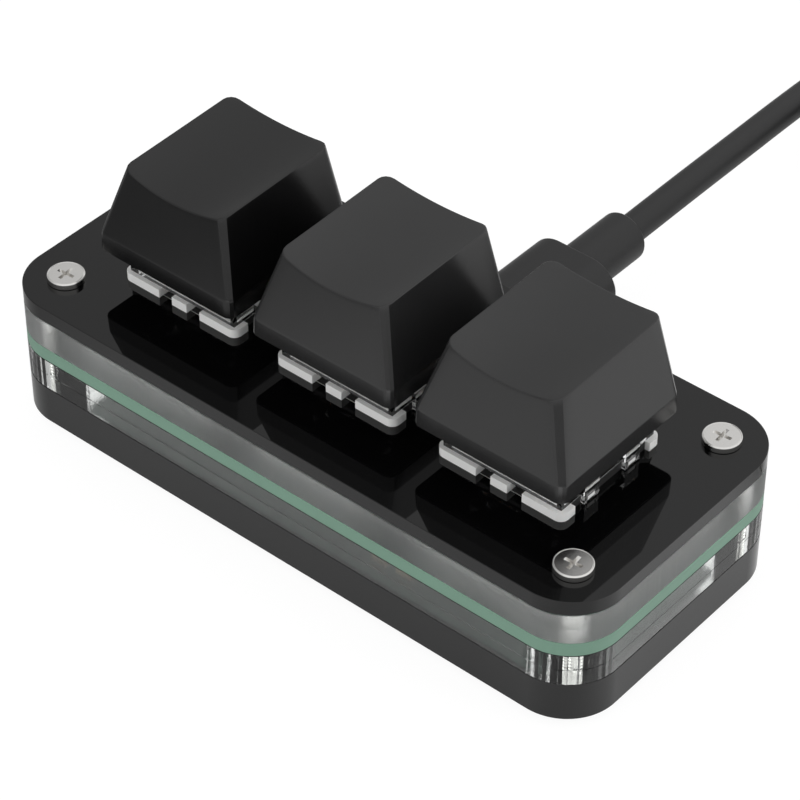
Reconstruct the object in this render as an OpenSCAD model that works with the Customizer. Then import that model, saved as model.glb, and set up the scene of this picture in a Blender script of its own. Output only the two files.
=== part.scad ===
// Macro keypad with three keys.
// A stack of plates and clear spacers holds a circuit board, three push
// switches with keycaps, and a socket with its plugged-in cable.
// Origin: centre of the footprint, on the surface the feet stand on.
// +X runs along the row of keys, +Y to the side where the cable leaves.

/* [Case] */
// Length of the case along the row of keys
case_l = 74.2; // [72:0.1:90]
// Depth of the case, front to back
case_w = 32.6; // [31:0.1:44]
// Corner radius of the case outline
case_r = 5.85; // [3:0.05:6.5]
// Thickness of the base plate
base_t = 4.6; // [4.2:0.1:7]
// Height of the clear spacer under the circuit board
low_t = 3.75; // [3.6:0.05:6]
// Height of the clear spacer over the circuit board
up_t = 3.55; // [3.4:0.05:6]
// Thickness of the top plate
top_t = 1.7; // [1.5:0.05:1.8]
// Wall of the spacers at the two ends
end_wall = 8.2; // [7.4:0.1:8.8]
// Wall of the spacers at the front and back
side_wall = 7.2; // [6.6:0.1:8]

/* [Circuit board] */
// Thickness of the circuit board
pcb_t = 1.6; // [1.2:0.1:2]
// Length of the controller chip
chip_l = 9.9; // [8:0.1:10.5]
// Width of the controller chip
chip_w = 3.9; // [3.4:0.1:4.2]
// Height of the controller chip
chip_h = 1.5; // [1:0.1:1.8]

/* [Fasteners and feet] */
// Diameter of the case screws
screw_d = 2; // [1.8:0.1:2.2]
// Diameter of the screw heads
head_d = 3.9; // [3.6:0.1:4.6]
// Height of the screw heads
head_h = 0.7; // [0.6:0.1:1.2]
// Distance of the screws from the ends of the case
screw_in_x = 4.8; // [4.4:0.1:5.4]
// Distance of the screws from the front and back of the case
screw_in_y = 4.9; // [4.4:0.1:5.4]
// Width of the nuts across flats
nut_af = 4; // [3.6:0.1:4.4]
// Thickness of the nuts
nut_t = 1.6; // [1.2:0.1:1.9]
// Diameter of the rubber feet
foot_d = 7; // [4:0.5:8]
// Height of the rubber feet
foot_h = 1; // [0.6:0.1:2]

/* [Keys] */
// Distance between neighbouring keys
key_pitch = 20.4; // [19:0.1:21.5]
// Travel of a key
key_travel = 4; // [3:0.1:4]
// Side of the square switch opening in the top plate
cutout = 14; // [13.8:0.05:14.2]
// Width of the switch flange that lies on the top plate
flange_w = 15.2; // [15.2:0.1:15.8]
// Thickness of the switch flange
flange_t = 1; // [0.7:0.1:1.1]
// Height of the closed switch above the top plate
switch_top = 6.6; // [6.2:0.1:6.8]
// Depth of the switch body below the face of the top plate
switch_deep = 5; // [4.6:0.1:5]
// Wire diameter of the key springs
spring_wire = 0.26; // [0.2:0.01:0.3]
// Outer diameter of the key springs
spring_od = 4.3; // [4.2:0.05:4.5]

/* [Keycaps] */
// Width of a keycap at its rim
cap_w = 17.94; // [17.4:0.02:18.4]
// Distance from the switch centre to the front of the rim
cap_front = 9.5; // [9.2:0.05:9.8]
// Distance from the switch centre to the back of the rim
cap_back = 8.45; // [8.4:0.05:9.2]
// Height of the rim above the top plate when the key is up
cap_rest = 4.26; // [4.2:0.02:5]
// Height of the upright band around the rim
cap_band = 2.05; // [1:0.05:3]
// Height of the keycap from its rim to its front top edge
cap_h = 10.1; // [10:0.05:12]
// Extra height of the back top edge
cap_rise = 0.35; // [0:0.05:1]
// Width of the keycap's top face
cap_top_w = 13.2; // [12.6:0.1:14]
// Depth of the hollow in the keycap's top face, at its front edge
cap_dish = 1; // [0.4:0.05:1.2]
// Depth of that hollow at the back edge
cap_dish_back = 0.55; // [0.3:0.05:1.2]
// Wall of the keycap
cap_wall = 0.8; // [0.6:0.05:0.85]
// Diameter of the tube that grips the stem
cap_tube = 5.5; // [5.2:0.05:5.5]

/* [Plug and cable] */
// Width of the moulded plug body
plug_w = 10.9; // [8.6:0.1:12]
// Height of the moulded plug body
plug_h = 6.4; // [5.4:0.1:8]
// Length of the moulded plug body
plug_l = 13.8; // [12:0.1:20]
// Diameter of the cable
cable_d = 3.4; // [3:0.1:3.4]
// Diameter of the sleeve behind the plug
sleeve_d = 5.7; // [4.6:0.1:6]
// Length of the sleeve behind the plug
sleeve_l = 8.4; // [5:0.1:12]
// Width of the far plug's metal shell
far_shell_w = 12; // [11.8:0.1:12.2]
// Height of the far plug's metal shell
far_shell_h = 4.5; // [4.3:0.1:4.7]
// Length of the far plug's metal shell outside its body
far_shell_l = 12; // [10:0.5:14]
// Length of the far plug's moulded body
far_body_l = 20; // [14:0.5:26]

/* [Hidden] */

// Curve steps
$fn = 48;

// Colours
BLACK = [0.05, 0.05, 0.055];
CAP_BLACK = [0.09, 0.09, 0.095];
CLEAR = [0.8, 0.85, 0.83, 0.45];
BOARD = [0.2, 0.42, 0.33];
STEEL = [0.75, 0.75, 0.76];
BRASS = [0.8, 0.66, 0.36];
WHITE = [0.9, 0.9, 0.88];
DARK = [0.12, 0.12, 0.12];

// Clearances
slip = 0.05;        // a piece dropped into a hole that is cut for it
press = 0.02;       // a piece gripped by its neighbour
run_gap = 0.08;     // a sliding piece, on each side
screw_play = 0.1;   // a screw in its through holes, on each side
face_gap = 0.05;    // two faces that meet without a fit
cut = 1;            // how far a cutting shape runs past a face
skin = 0.01;        // overlap of two shapes of one solid

// Levels of the stack
base_z = foot_h;
low_z = base_z + base_t;
pcb_z = low_z + low_t;
up_z = pcb_z + pcb_t;
top_z = up_z + up_t;
plate_z = top_z + top_t;

// Screws and nuts
screw_x = case_l / 2 - screw_in_x;
screw_y = case_w / 2 - screw_in_y;
nut_roof = 2.1;
nut_z = low_z - nut_roof - nut_t;
screw_end = 0.3;
screw_tip_z = nut_z - screw_end;
drive_l = 2.3;
drive_w = 0.5;
drive_deep = 0.5;
head_edge = 0.2;

// Feet: distances of their centres from the screws and from the long sides
foot_in_x = 9;
foot_in_y = 6;
foot_edge = 0.25;
foot_x = screw_x - foot_in_x;
foot_y = case_w / 2 - foot_in_y;

// Pockets of the two clear spacers
pocket_l = case_l - 2 * end_wall;
pocket_w = case_w - 2 * side_wall;
pocket_r = 1.5;
switch_room = 0.5;
screw_bore = screw_d / 2 + screw_play;

// Switch: sizes below are measured from the face of the top plate
body_w = cutout - 2 * slip;
body_chamfer = 0.6;
body_chamfer_h = 1.6;
body_wall = 1;
body_floor = 1;
room_w = body_w - 2 * body_wall;
floor_z = -switch_deep + body_floor;
flange_r = 0.9;
flange_front = 7.55;
flange_back = 7.55;
notch_x = [-1.81, 1.93];
notch_w = 1.75;
notch_deep = 1.3;
side_from = -5.65;
side_to = 5.7;
side_ledge = 0.1;
side_x = body_w / 2 + side_ledge;
peg_d = 3.95;
peg_out = 1.45;
peg_l = top_t + up_t + pcb_t + peg_out - switch_deep;
peg_tip = 0.5;
post_od = 3.3;
post_bore = 2.24;
post_h = 2.9;
post_top = floor_z + post_h;
bore_floor = 0.9;
lug_w = 4;
lug_out = 0.22;
lug_h = 0.9;
hook_out = 0.45;
hook_h = 0.45;
hook_w = 1.1;
hook_z = 0.3;

// Clear switch cover
cover_foot = side_x;
cover_lip = 1.2;
cover_top_x = 5.9;
cover_top_y = 6.2;
cover_wall = 0.8;
cover_roof = 1;
leg_t = 0.45;
leg_w = 2.2;
leg_y = 3.1;
leg_low = 0.15;
leg_gap = 0.06;
lens_w = 5;
lens_deep = 1.4;

// Stem
stem_x = 7.2;
stem_y = 5.6;
stem_low = 2;
stem_drop = 0.1;
shoulder_z = switch_top - stem_drop;
rail_x = 9.4;
rail_y = 2.2;
rail_top = switch_top - cover_roof - stem_drop;
arm_x = 1.6;
arm_w = 0.8;
arm_out = 0.9;
arm_toe = 0.3;
cross_l = 4;
cross_wide = 1.29;
cross_thin = 1.09;
cross_h = 3.6;
well_play = 0.25;
well_h = 2.2;
well_d = spring_od + 2 * well_play;
well_top = stem_low + well_h;
pin_d = post_bore - 2 * run_gap;
pin_l = 6.8;
pin_tip = well_top - pin_l;

// Springs
spring_r = (spring_od - spring_wire) / 2;
spring_z0 = floor_z + spring_wire / 2;
spring_z1 = well_top - spring_wire / 2;
spring_turns = 9;
spring_rings = 8;
spring_sides = 6;

// Contacts
pin_a = [-3.81, 2.54];
pin_b = [2.54, 5.08];
pin_w = 0.9;
pin_t = 0.3;
pin_out = 1.65;
pin_low = top_t + up_t + pcb_t + pin_out;
strip_t = 0.2;
strip_y = 5.5;
strip_end = -1;
leaf_y = 4.2;
leaf_end = -2.6;
leaf_low = -1.4;
leaf_top = 0.6;

// Holes in the circuit board
peg_hole = peg_d + 2 * slip;
pin_hole = 1.5;
solder_d = 2.3;
solder_tip = 1.3;
solder_h = 0.9;

// Parts under the circuit board
chip_x = -key_pitch / 2;
chip_y = -1;
lead_count = 8;
lead_pitch = 1.27;
lead_w = 0.42;
lead_t = 0.2;
lead_span = 6;
lead_foot = 0.75;
chip_lift = 0.12;
chip_bevel = 0.12;
cap_parts = [[8.6, -6.2], [11.8, -6.2], [-11.8, 6.8], [-8.6, 6.8]];
cap_part = [2, 1.25, 0.85];
res_parts = [[7.4, 3.2], [7.4, 5], [13.2, 3.2], [13.2, 5]];
res_part = [1.6, 0.8, 0.45];
part_rim = 0.04;

// Socket and plug
usb_w = 7.6;
usb_h = 2.6;
usb_l = 5.6;
usb_t = 0.25;
usb_cut = 0.75;
usb_mouth = 0.3;
usb_tab_at = [0.6, 3.2];
usb_tab_l = 1.2;
usb_tab_out = 0.2;
axis_z = pcb_z - usb_h / 2;
usb_y1 = case_w / 2 - usb_mouth;
usb_y0 = usb_y1 - usb_l;
usb_play = 0.3;
tongue_w = 3.8;
tongue_h = 0.6;
tongue_l = 4.2;
tongue_back = 1;
metal_w = usb_w - 2 * usb_t - 2 * slip;
metal_h = usb_h - 2 * usb_t - 2 * slip;
metal_t = 0.3;
metal_gap = 0.3;
plug_gap = 0.7;
plug_y0 = case_w / 2 + plug_gap;
plug_y1 = plug_y0 + plug_l;
metal_y0 = usb_y0 + tongue_back + metal_gap;
plug_edge = 0.35;
plug_nose = 0.6;
sleeve_edge = 0.3;

// Keycap: heights above the face of the top plate when the key is up
band_z = cap_rest + cap_band;
front_z = cap_rest + cap_h;
cap_band_in = 0.15;
cap_lean_front = 1.9;
cap_lean_back = 0.45;
cap_top_front = cap_front - cap_lean_front;
cap_top_back = cap_back - cap_lean_back;
cap_corner = 1;
cap_top_corner = 1.3;
cap_edge = 0.4;
cap_roof = 1.2;
cap_thin_side = 0.6 * cap_wall;
cap_thin_front = 0.5 * cap_wall;
room_top = front_z - cap_dish - cap_roof;
cap_slope = atan(cap_rise / (cap_top_front + cap_top_back));
dish_steps = 16;
dish_rim = 2;
socket_room = 0.15;
socket_deep = cross_h + socket_room;
rib_t = 1;
rib_gap = 0.15;
rib_low = switch_top + key_travel + rib_gap;

// Cable route: points on the free stretches, in millimetres.
// The first one lies at the sleeve, and the last one where the coil begins.
RUN = [[0, 39.2, 8.1], [0, 50, 8.2], [0, 60, 8.2], [0, 68, 8.2], [0, 75, 8], [0, 81, 7.2],
    [0, 87, 5.7], [0, 93, 4.1], [0, 98, 2.9], [0, 102, 2.3], [0, 105, 2.2]];
TAIL = [[46, 105, 13.75], [46, 101, 13.6], [46, 96, 12.6], [46, 90, 10.6], [46, 84, 8.3],
    [46, 78, 6.2], [46, 73, 4.8], [46, 69, 4.1], [46, 65, 4]];

// Coil: layers of turns, wound in and out again
coil_x = 23;
coil_y = 108.4;
coil_out = 23;
coil_step = 3.85;
coil_layers = 4;
coil_turns = 9.5;
coil_rings = 24;
coil_base = 2.2;
layer_turns = coil_turns / coil_layers;
coil_in = coil_out - coil_step * layer_turns;
climb = 0.25;

// Tie around the coil
tie_w = 8;
tie_t = 0.5;
tie_gap = 0.55;
tie_r = 0.5;

// Far plug
far_x = 46;
far_z = 4;
far_y1 = 65;
far_sleeve_l = 8;
far_sleeve_d = 5.6;
far_sleeve_tip = 4.4;
far_w = 15.6;
far_h = 8;
far_r = 2;
far_edge = 0.8;
far_y2 = far_y1 - far_sleeve_l;
far_y3 = far_y2 - far_body_l;
far_wall = 0.35;
far_insert_h = 1.9;
far_insert_in = 0.5;
window_x = 2.7;
window_y = 5.4;
window_w = 2.4;
window_l = 2.2;

// Outlines and helpers

// Rectangle with round corners, centred
module round_rect(l, w, r) {
    square([l - 2 * r, w], center = true);
    square([l, w - 2 * r], center = true);
    for (x = [-1, 1], y = [-1, 1])
        translate([x * (l / 2 - r), y * (w / 2 - r)]) circle(r);
}

// Plate of the case outline
module case_slab(z, t) {
    translate([0, 0, z]) linear_extrude(t) round_rect(case_l, case_w, case_r);
}

// Places its children at the four screws
module at_screws() {
    for (x = [-1, 1], y = [-1, 1])
        translate([x * screw_x, y * screw_y, 0]) children();
}

// Through holes for the four screws
module screw_holes(z, t) {
    at_screws() translate([0, 0, z - cut]) cylinder(h = t + 2 * cut, r = screw_bore);
}

// Place of key i, at the face of the top plate
module at_key(i) {
    translate([(i - 2) * key_pitch, 0, plate_z]) children();
}

// Upright shape with one outline seen from the front and one seen from the side
module two_way(front, side, reach) {
    intersection() {
        rotate([90, 0, 0]) translate([0, 0, -reach]) linear_extrude(2 * reach) polygon(front);
        rotate([90, 0, 90]) translate([0, 0, -reach]) linear_extrude(2 * reach) polygon(side);
    }
}

// Box between two corners
module box(a, b) {
    translate(a) cube(b - a);
}

// Tube swept along points with a given direction at each
function side_dir(t) = let (s = cross(t, [0, 0, 1])) s / norm(s);
function ring_points(p, t, r, n) =
    let (s = side_dir(t), u = cross(s, t))
    [for (k = [0 : n - 1]) let (a = 360 * (k + 0.5) / n) p + r * (cos(a) * s + sin(a) * u)];
function tube_faces(m, n) = concat(
    [[for (k = [0 : n - 1]) k]],
    [for (i = [0 : m - 2], k = [0 : n - 1]) let (a = i * n + k, b = i * n + (k + 1) % n) [a, a + n, b]],
    [for (i = [0 : m - 2], k = [0 : n - 1])
        let (a = i * n + (k + 1) % n, b = i * n + k + n) [a, b, a + n]],
    [[for (k = [n - 1 : -1 : 0]) (m - 1) * n + k]]);
module tube(points, dirs, r, n) {
    polyhedron([for (i = [0 : len(points) - 1]) each ring_points(points[i], dirs[i], r, n)],
        tube_faces(len(points), n), convexity = 10);
}

// Bar along y through pill outlines: each shape gives its inset and its place
function pill_points(w, h, inset, y, n) = [for (k = [0 : n - 1])
    let (a = 360 * (k + 0.5) / n, x = sign(cos(a)) * (w - h) / 2)
        [x + (h / 2 - inset) * cos(a), y, (h / 2 - inset) * sin(a)]];
module pill_bar(w, h, shapes, n) {
    polyhedron([for (s = shapes) each pill_points(w, h, s[0], s[1], n)],
        tube_faces(len(shapes), n), convexity = 4);
}

// Smooth curve through points: each span is cut into equal steps
function spline(a, b, c, d, t) =
    0.5 * (2 * b + (c - a) * t + (2 * a - 5 * b + 4 * c - d) * t * t + (3 * b - a - 3 * c + d) * t * t * t);
function smooth(p, steps) = concat(
    [for (i = [0 : len(p) - 2], k = [0 : steps - 1])
        spline(p[max(i - 1, 0)], p[i], p[i + 1], p[min(i + 2, len(p) - 1)], k / steps)],
    [p[len(p) - 1]]);
function chord_dirs(p, first, last) = [for (i = [0 : len(p) - 1])
    let (v = i == 0 ? first : i == len(p) - 1 ? last : p[i + 1] - p[i - 1]) v / norm(v)];
function path_length(p) = [for (i = [0 : len(p) - 2]) norm(p[i + 1] - p[i])] * [for (i = [0 : len(p) - 2]) 1];

// Case

module base_plate() {
    color(BLACK) difference() {
        case_slab(base_z, base_t);
        screw_holes(base_z, base_t);
        at_screws() translate([0, 0, base_z - cut])
            cylinder(h = nut_z + nut_t - base_z + cut, d = nut_af / cos(30) + 2 * slip, $fn = 6);
    }
}

// Clear frame with the pocket of the case, which leaves room round each switch
module spacer(z, t) {
    room = cutout + 2 * switch_room;
    color(CLEAR) difference() {
        case_slab(z, t);
        translate([0, 0, z - cut]) linear_extrude(t + 2 * cut) {
            round_rect(pocket_l, pocket_w, pocket_r);
            for (i = [1 : 3]) translate([(i - 2) * key_pitch, 0]) square(room, center = true);
        }
        screw_holes(z, t);
        children();
    }
}

module lower_spacer() {
    spacer(low_z, low_t)
        box([-usb_w / 2 - usb_play, 0, low_z - cut], [usb_w / 2 + usb_play, case_w, pcb_z + cut]);
}

module upper_spacer() {
    spacer(up_z, up_t);
}

module pcb() {
    color(BOARD) difference() {
        case_slab(pcb_z, pcb_t);
        screw_holes(pcb_z, pcb_t);
        for (i = [1 : 3]) translate([(i - 2) * key_pitch, 0, pcb_z - cut]) {
            cylinder(h = pcb_t + 2 * cut, d = peg_hole);
            for (p = [pin_a, pin_b]) translate(p) cylinder(h = pcb_t + 2 * cut, d = pin_hole);
        }
    }
}

module top_plate() {
    color(BLACK) difference() {
        case_slab(top_z, top_t);
        screw_holes(top_z, top_t);
        for (i = [1 : 3]) translate([(i - 2) * key_pitch - cutout / 2, -cutout / 2, top_z - cut])
            cube([cutout, cutout, top_t + 2 * cut]);
    }
}

module case_screws() {
    color(STEEL) at_screws() difference() {
        union() {
            translate([0, 0, screw_tip_z]) cylinder(h = plate_z - screw_tip_z + skin, d = screw_d);
            translate([0, 0, plate_z]) rotate_extrude() polygon([[0, 0], [head_d / 2, 0],
                [head_d / 2, head_h - head_edge], [head_d / 2 - head_edge, head_h], [0, head_h]]);
        }
        for (a = [0, 90]) translate([0, 0, plate_z + head_h - drive_deep]) rotate(a + 30)
            translate([-drive_l / 2, -drive_w / 2, 0]) cube([drive_l, drive_w, drive_deep + cut]);
    }
}

module case_nuts() {
    color(BRASS) at_screws() translate([0, 0, nut_z]) difference() {
        cylinder(h = nut_t, d = nut_af / cos(30), $fn = 6);
        translate([0, 0, -cut]) cylinder(h = nut_t + 2 * cut, d = screw_d + 2 * press);
    }
}

module rubber_feet() {
    r = foot_d / 2;
    color(DARK) for (x = [-1, 1], y = [-1, 1]) translate([x * foot_x, y * foot_y, 0]) rotate_extrude()
        polygon([[0, 0], [r - foot_edge, 0], [r, foot_edge], [r, foot_h], [0, foot_h]]);
}

// Switches

module switch_housing(i) {
    color(WHITE) at_key(i) difference() {
        union() {
            difference() {
                union() {
                    housing_body();
                    housing_flange();
                }
                box([-room_w / 2, -room_w / 2, floor_z], [room_w / 2, room_w / 2, flange_t + cut]);
            }
            translate([0, 0, floor_z - skin]) cylinder(h = post_top - floor_z + skin, d = post_od);
            translate([0, 0, -switch_deep - peg_l]) peg();
            for (s = [0, 180]) rotate(s) housing_lug();
            for (s = [0, 1], y = [-leg_y, leg_y]) mirror([s, 0, 0]) housing_hook(y);
        }
        translate([0, 0, bore_floor - switch_deep - peg_l]) cylinder(h = switch_deep + peg_l, d = post_bore);
        for (p = [pin_a, pin_b]) pin_box(p, slip, -switch_deep - cut, floor_z + cut);
    }
}

// Lower body, drawn in towards its floor on all four sides
module housing_body() {
    wide = body_w / 2;
    low = wide - body_chamfer;
    bend = body_chamfer_h - switch_deep;
    side = [[-wide, skin], [wide, skin], [wide, bend],
        [low, -switch_deep], [-low, -switch_deep], [-wide, bend]];
    two_way(side, side, body_w);
}

// Flange with two notches at the front and back and a recess at each side
module housing_flange() {
    difference() {
        translate([0, (flange_back - flange_front) / 2, 0]) linear_extrude(flange_t)
            round_rect(flange_w, flange_front + flange_back, flange_r);
        for (x = notch_x) {
            box([x - notch_w / 2, -flange_front - cut, -cut],
                [x + notch_w / 2, notch_deep - flange_front, flange_t + cut]);
            box([x - notch_w / 2, flange_back - notch_deep, -cut],
                [x + notch_w / 2, flange_back + cut, flange_t + cut]);
        }
        for (s = [0, 1]) mirror([s, 0, 0])
            box([side_x, side_from, -cut], [flange_w, side_to, flange_t + cut]);
    }
}

// Peg that goes through the circuit board
module peg() {
    cylinder(h = peg_tip, d1 = peg_d - 2 * peg_tip, d2 = peg_d);
    translate([0, 0, peg_tip]) cylinder(h = peg_l - peg_tip + skin, d = peg_d);
}

// Sloped lug that catches under the top plate
module housing_lug() {
    y = body_w / 2 - skin;
    z = -top_t - face_gap;
    translate([-lug_w / 2, 0, 0]) rotate([90, 0, 90]) linear_extrude(lug_w)
        polygon([[y, z], [y + lug_out, z], [y, z - lug_h]]);
}

// Hook that a leg of the cover catches on
module housing_hook(y) {
    box([body_w / 2 - skin, y - hook_w / 2, hook_z], [side_x + hook_out, y + hook_w / 2, hook_z + hook_h]);
}

// Upright bar of a contact pin's section, with room g around it
module pin_box(p, g, z0, z1) {
    box([p.x - pin_w / 2 - g, p.y - pin_t / 2 - g, z0], [p.x + pin_w / 2 + g, p.y + pin_t / 2 + g, z1]);
}

module switch_cover(i) {
    color(CLEAR) at_key(i) difference() {
        union() {
            difference() {
                cover_block(0, flange_t, switch_top);
                cover_block(cover_wall, flange_t - cut, switch_top - cover_roof);
            }
            for (s = [0, 1], y = [-leg_y, leg_y]) mirror([s, 0, 0]) cover_leg(y);
        }
        box([-stem_x / 2 - run_gap, -stem_y / 2 - run_gap, 0],
            [stem_x / 2 + run_gap, stem_y / 2 + run_gap, switch_top + cut]);
        box([-lens_w / 2, -cover_top_y - cut, flange_t + cover_lip],
            [lens_w / 2, lens_deep - cover_top_y, switch_top + cut]);
    }
}

// Cover's outer shape, or its inside when drawn in by w
module cover_block(w, low, high) {
    two_way(cover_outline(cover_foot - w, cover_top_x - w, low, high),
        cover_outline(cover_foot - w, cover_top_y - w, low, high), 2 * cover_foot);
}

// Upright foot, then a slope to the top
function cover_outline(foot, top, low, high) = let (lip = flange_t + cover_lip)
    [[-foot, low], [foot, low], [foot, lip], [top, high], [-top, high], [-foot, lip]];

// Leg with a window for the housing's hook
module cover_leg(y) {
    x = side_x + leg_gap;
    difference() {
        union() {
            box([x, y - leg_w / 2, leg_low], [x + leg_t, y + leg_w / 2, flange_t + cover_lip]);
            box([cover_foot - cover_wall, y - leg_w / 2, flange_t + face_gap],
                [x + leg_t, y + leg_w / 2, flange_t + cover_lip]);
        }
        box([x - cut, y - hook_w / 2 - leg_gap, hook_z - leg_gap],
            [x + leg_t + cut, y + hook_w / 2 + leg_gap, hook_z + hook_h + leg_gap]);
        box([x - cut, y - leg_w / 2 - cut, 0], [x, y + leg_w / 2 + cut, flange_t + face_gap]);
    }
}

// One fixed contact and one leaf, each with its pin
module switch_contacts(i) {
    color(BRASS) at_key(i) {
        pin_box(pin_a, 0, -pin_low, floor_z + strip_t);
        box([pin_a.x - pin_w / 2, pin_a.y, floor_z], [pin_a.x + pin_w / 2, strip_y, floor_z + strip_t]);
        box([pin_a.x - pin_w / 2, strip_y - strip_t, floor_z], [strip_end, strip_y, leaf_top]);
        pin_box(pin_b, 0, -pin_low, leaf_top);
        box([pin_b.x - pin_w / 2, leaf_y, leaf_low], [pin_b.x + pin_w / 2, pin_b.y, leaf_low + strip_t]);
        box([leaf_end, leaf_y - strip_t, leaf_low], [pin_b.x + pin_w / 2, leaf_y, leaf_top]);
    }
}

// Spring round the post, from the housing's floor to the roof of the stem's well
module key_spring(i) {
    steps = spring_turns * spring_rings;
    points = [for (k = [0 : steps]) let (a = 360 * k / spring_rings)
        [spring_r * cos(a), spring_r * sin(a), spring_z0 + (spring_z1 - spring_z0) * k / steps]];
    climb_rate = (spring_z1 - spring_z0) / spring_turns / 2 / PI;
    dirs = [for (k = [0 : steps]) let (a = 360 * k / spring_rings)
        let (v = [-spring_r * sin(a), spring_r * cos(a), climb_rate]) v / norm(v)];
    color(STEEL) at_key(i) tube(points, dirs, spring_wire / 2, spring_sides);
}

module key_stem(i) {
    color(DARK) at_key(i) {
        difference() {
            union() {
                box([-stem_x / 2, -stem_y / 2, stem_low], [stem_x / 2, stem_y / 2, shoulder_z]);
                box([-rail_x / 2, -rail_y / 2, stem_low], [rail_x / 2, rail_y / 2, rail_top]);
                for (x = [-arm_x, arm_x]) stem_arm(x);
                for (r = cross_arms(0))
                    box([-r.x, -r.y, shoulder_z - skin], [r.x, r.y, shoulder_z + cross_h]);
            }
            translate([0, 0, stem_low - cut]) cylinder(h = well_top - stem_low + cut, d = well_d);
        }
        translate([0, 0, pin_tip]) cylinder(h = well_top - pin_tip + skin, d = pin_d);
    }
}

// Half sizes of the two bars of the cross, with room g around them
function cross_arms(g) = [[cross_l / 2 + g, cross_wide / 2 + g], [cross_thin / 2 + g, cross_l / 2 + g]];

// Arm that works the leaf, sloped at its lower end
module stem_arm(x) {
    y = stem_y / 2 - skin;
    translate([x - arm_w / 2, 0, 0]) rotate([90, 0, 90]) linear_extrude(arm_w)
        polygon([[y, stem_low], [y + arm_toe, stem_low], [y + arm_out, stem_low + arm_out],
            [y + arm_out, rail_top], [y, rail_top]]);
}

// Keycaps

// Thin slice of the keycap's outline at height z
module cap_slice(w, front, back, r, z) {
    translate([0, (back - front) / 2, z]) linear_extrude(skin) round_rect(w, front + back, r, $fn = 32);
}

// The same slice, following the slope of the top face
module cap_top_slice(w, inset, drop) {
    front = cap_top_front - inset;
    back = cap_top_back - inset;
    translate([0, -cap_top_front, front_z]) rotate([cap_slope, 0, 0])
        translate([0, cap_top_front, -drop - skin])
            cap_slice(w - 2 * inset, front, back, cap_top_corner - inset / 2, 0);
}

module keycap(i) {
    color(CAP_BLACK) at_key(i) difference() {
        union() {
            difference() {
                cap_shell();
                cap_room();
            }
            translate([0, 0, shoulder_z + face_gap]) cylinder(h = room_top - shoulder_z, d = cap_tube);
            cap_ribs();
        }
        for (r = cross_arms(press))
            box([-r.x, -r.y, shoulder_z - cut], [r.x, r.y, shoulder_z + face_gap + socket_deep]);
        cap_hollow();
    }
}

// Round segment of the given depth, as wide as the keycap's top face
function dish_outline(depth) =
    let (r = cap_top_w * cap_top_w / 8 / depth + depth / 2, w = cap_top_w / 2 + cut)
    concat([for (k = [0 : dish_steps]) let (x = w * (2 * k / dish_steps - 1))
        [x, r - depth - sqrt(r * r - x * x)]], [[w, dish_rim], [-w, dish_rim]]);

// Solid that hollows the top face, deeper at the front than at the back
module cap_hollow() {
    translate([0, -cap_top_front, front_z]) rotate([cap_slope, 0, 0]) hull()
        for (e = [[-cut, cap_dish], [cap_top_front + cap_top_back + cut, cap_dish_back]])
            translate([0, e[0], 0]) rotate([90, 0, 0]) linear_extrude(skin) polygon(dish_outline(e[1]));
}

// Outside of the keycap: an upright band, then four sloping sides
module cap_shell() {
    hull() {
        cap_slice(cap_w, cap_front, cap_back, cap_corner, cap_rest);
        cap_band_slice(0);
    }
    hull() {
        cap_band_slice(0);
        cap_top_slice(cap_top_w, 0, cap_edge);
        cap_top_slice(cap_top_w, cap_edge / 3, cap_edge / 3);
        cap_top_slice(cap_top_w, cap_edge, 0);
    }
}

// Slice where the band ends, drawn in by g
module cap_band_slice(g) {
    inset = cap_band_in / 2 + g;
    cap_slice(cap_w - 2 * inset, cap_front - inset, cap_back - inset, cap_corner, band_z);
}

// Inside of the keycap
module cap_room() {
    hull() {
        cap_slice(cap_w - 2 * cap_wall, cap_front - cap_wall, cap_back - cap_wall, cap_corner / 2,
            cap_rest - cut);
        cap_band_slice(cap_wall);
    }
    hull() {
        cap_band_slice(cap_wall);
        cap_slice(cap_top_w - 2 * cap_thin_side, cap_top_front - cap_thin_front, cap_top_back - cap_wall,
            cap_corner / 2, room_top - skin);
    }
}

// Ribs from the tube to the walls
module cap_ribs() {
    box([-cap_top_w / 2, -rib_t / 2, rib_low], [cap_top_w / 2, rib_t / 2, room_top + skin]);
    box([-rib_t / 2, -cap_top_front, rib_low], [rib_t / 2, cap_top_back - cap_wall / 2, room_top + skin]);
}

// Parts under the circuit board: heights are measured down from its lower face
module under_board(p) {
    translate([p.x, p.y, pcb_z]) children();
}

module controller_chip() {
    mid = -chip_lift - chip_h / 2;
    color(DARK) under_board([chip_x, chip_y])
        two_way(chip_outline(chip_w / 2, mid), chip_outline(chip_l / 2, mid), chip_l);
}

// Section of the chip: widest at its middle, where its leads come out
function chip_outline(r, mid) =
    let (low = mid - chip_h / 2, high = mid + chip_h / 2, face = r - chip_bevel)
    [[-face, low], [face, low], [r, mid], [face, high], [-face, high], [-r, mid]];

module chip_leads() {
    mid = -chip_lift - chip_h / 2;
    near = chip_w / 2 - 2 * skin;
    knee = lead_span / 2 - lead_foot;
    far = lead_span / 2;
    section = [[near, mid - lead_t / 2], [knee + lead_t, mid - lead_t / 2], [knee + lead_t, -lead_t],
        [far, -lead_t], [far, 0], [knee, 0], [knee, mid + lead_t / 2], [near, mid + lead_t / 2]];
    color(STEEL) under_board([chip_x, chip_y])
        for (s = [0, 1], k = [0 : lead_count - 1]) mirror([s, 0, 0])
            translate([0, (k - (lead_count - 1) / 2) * lead_pitch + lead_w / 2, 0])
                rotate([90, 0, 0]) linear_extrude(lead_w) polygon(section);
}

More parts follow.
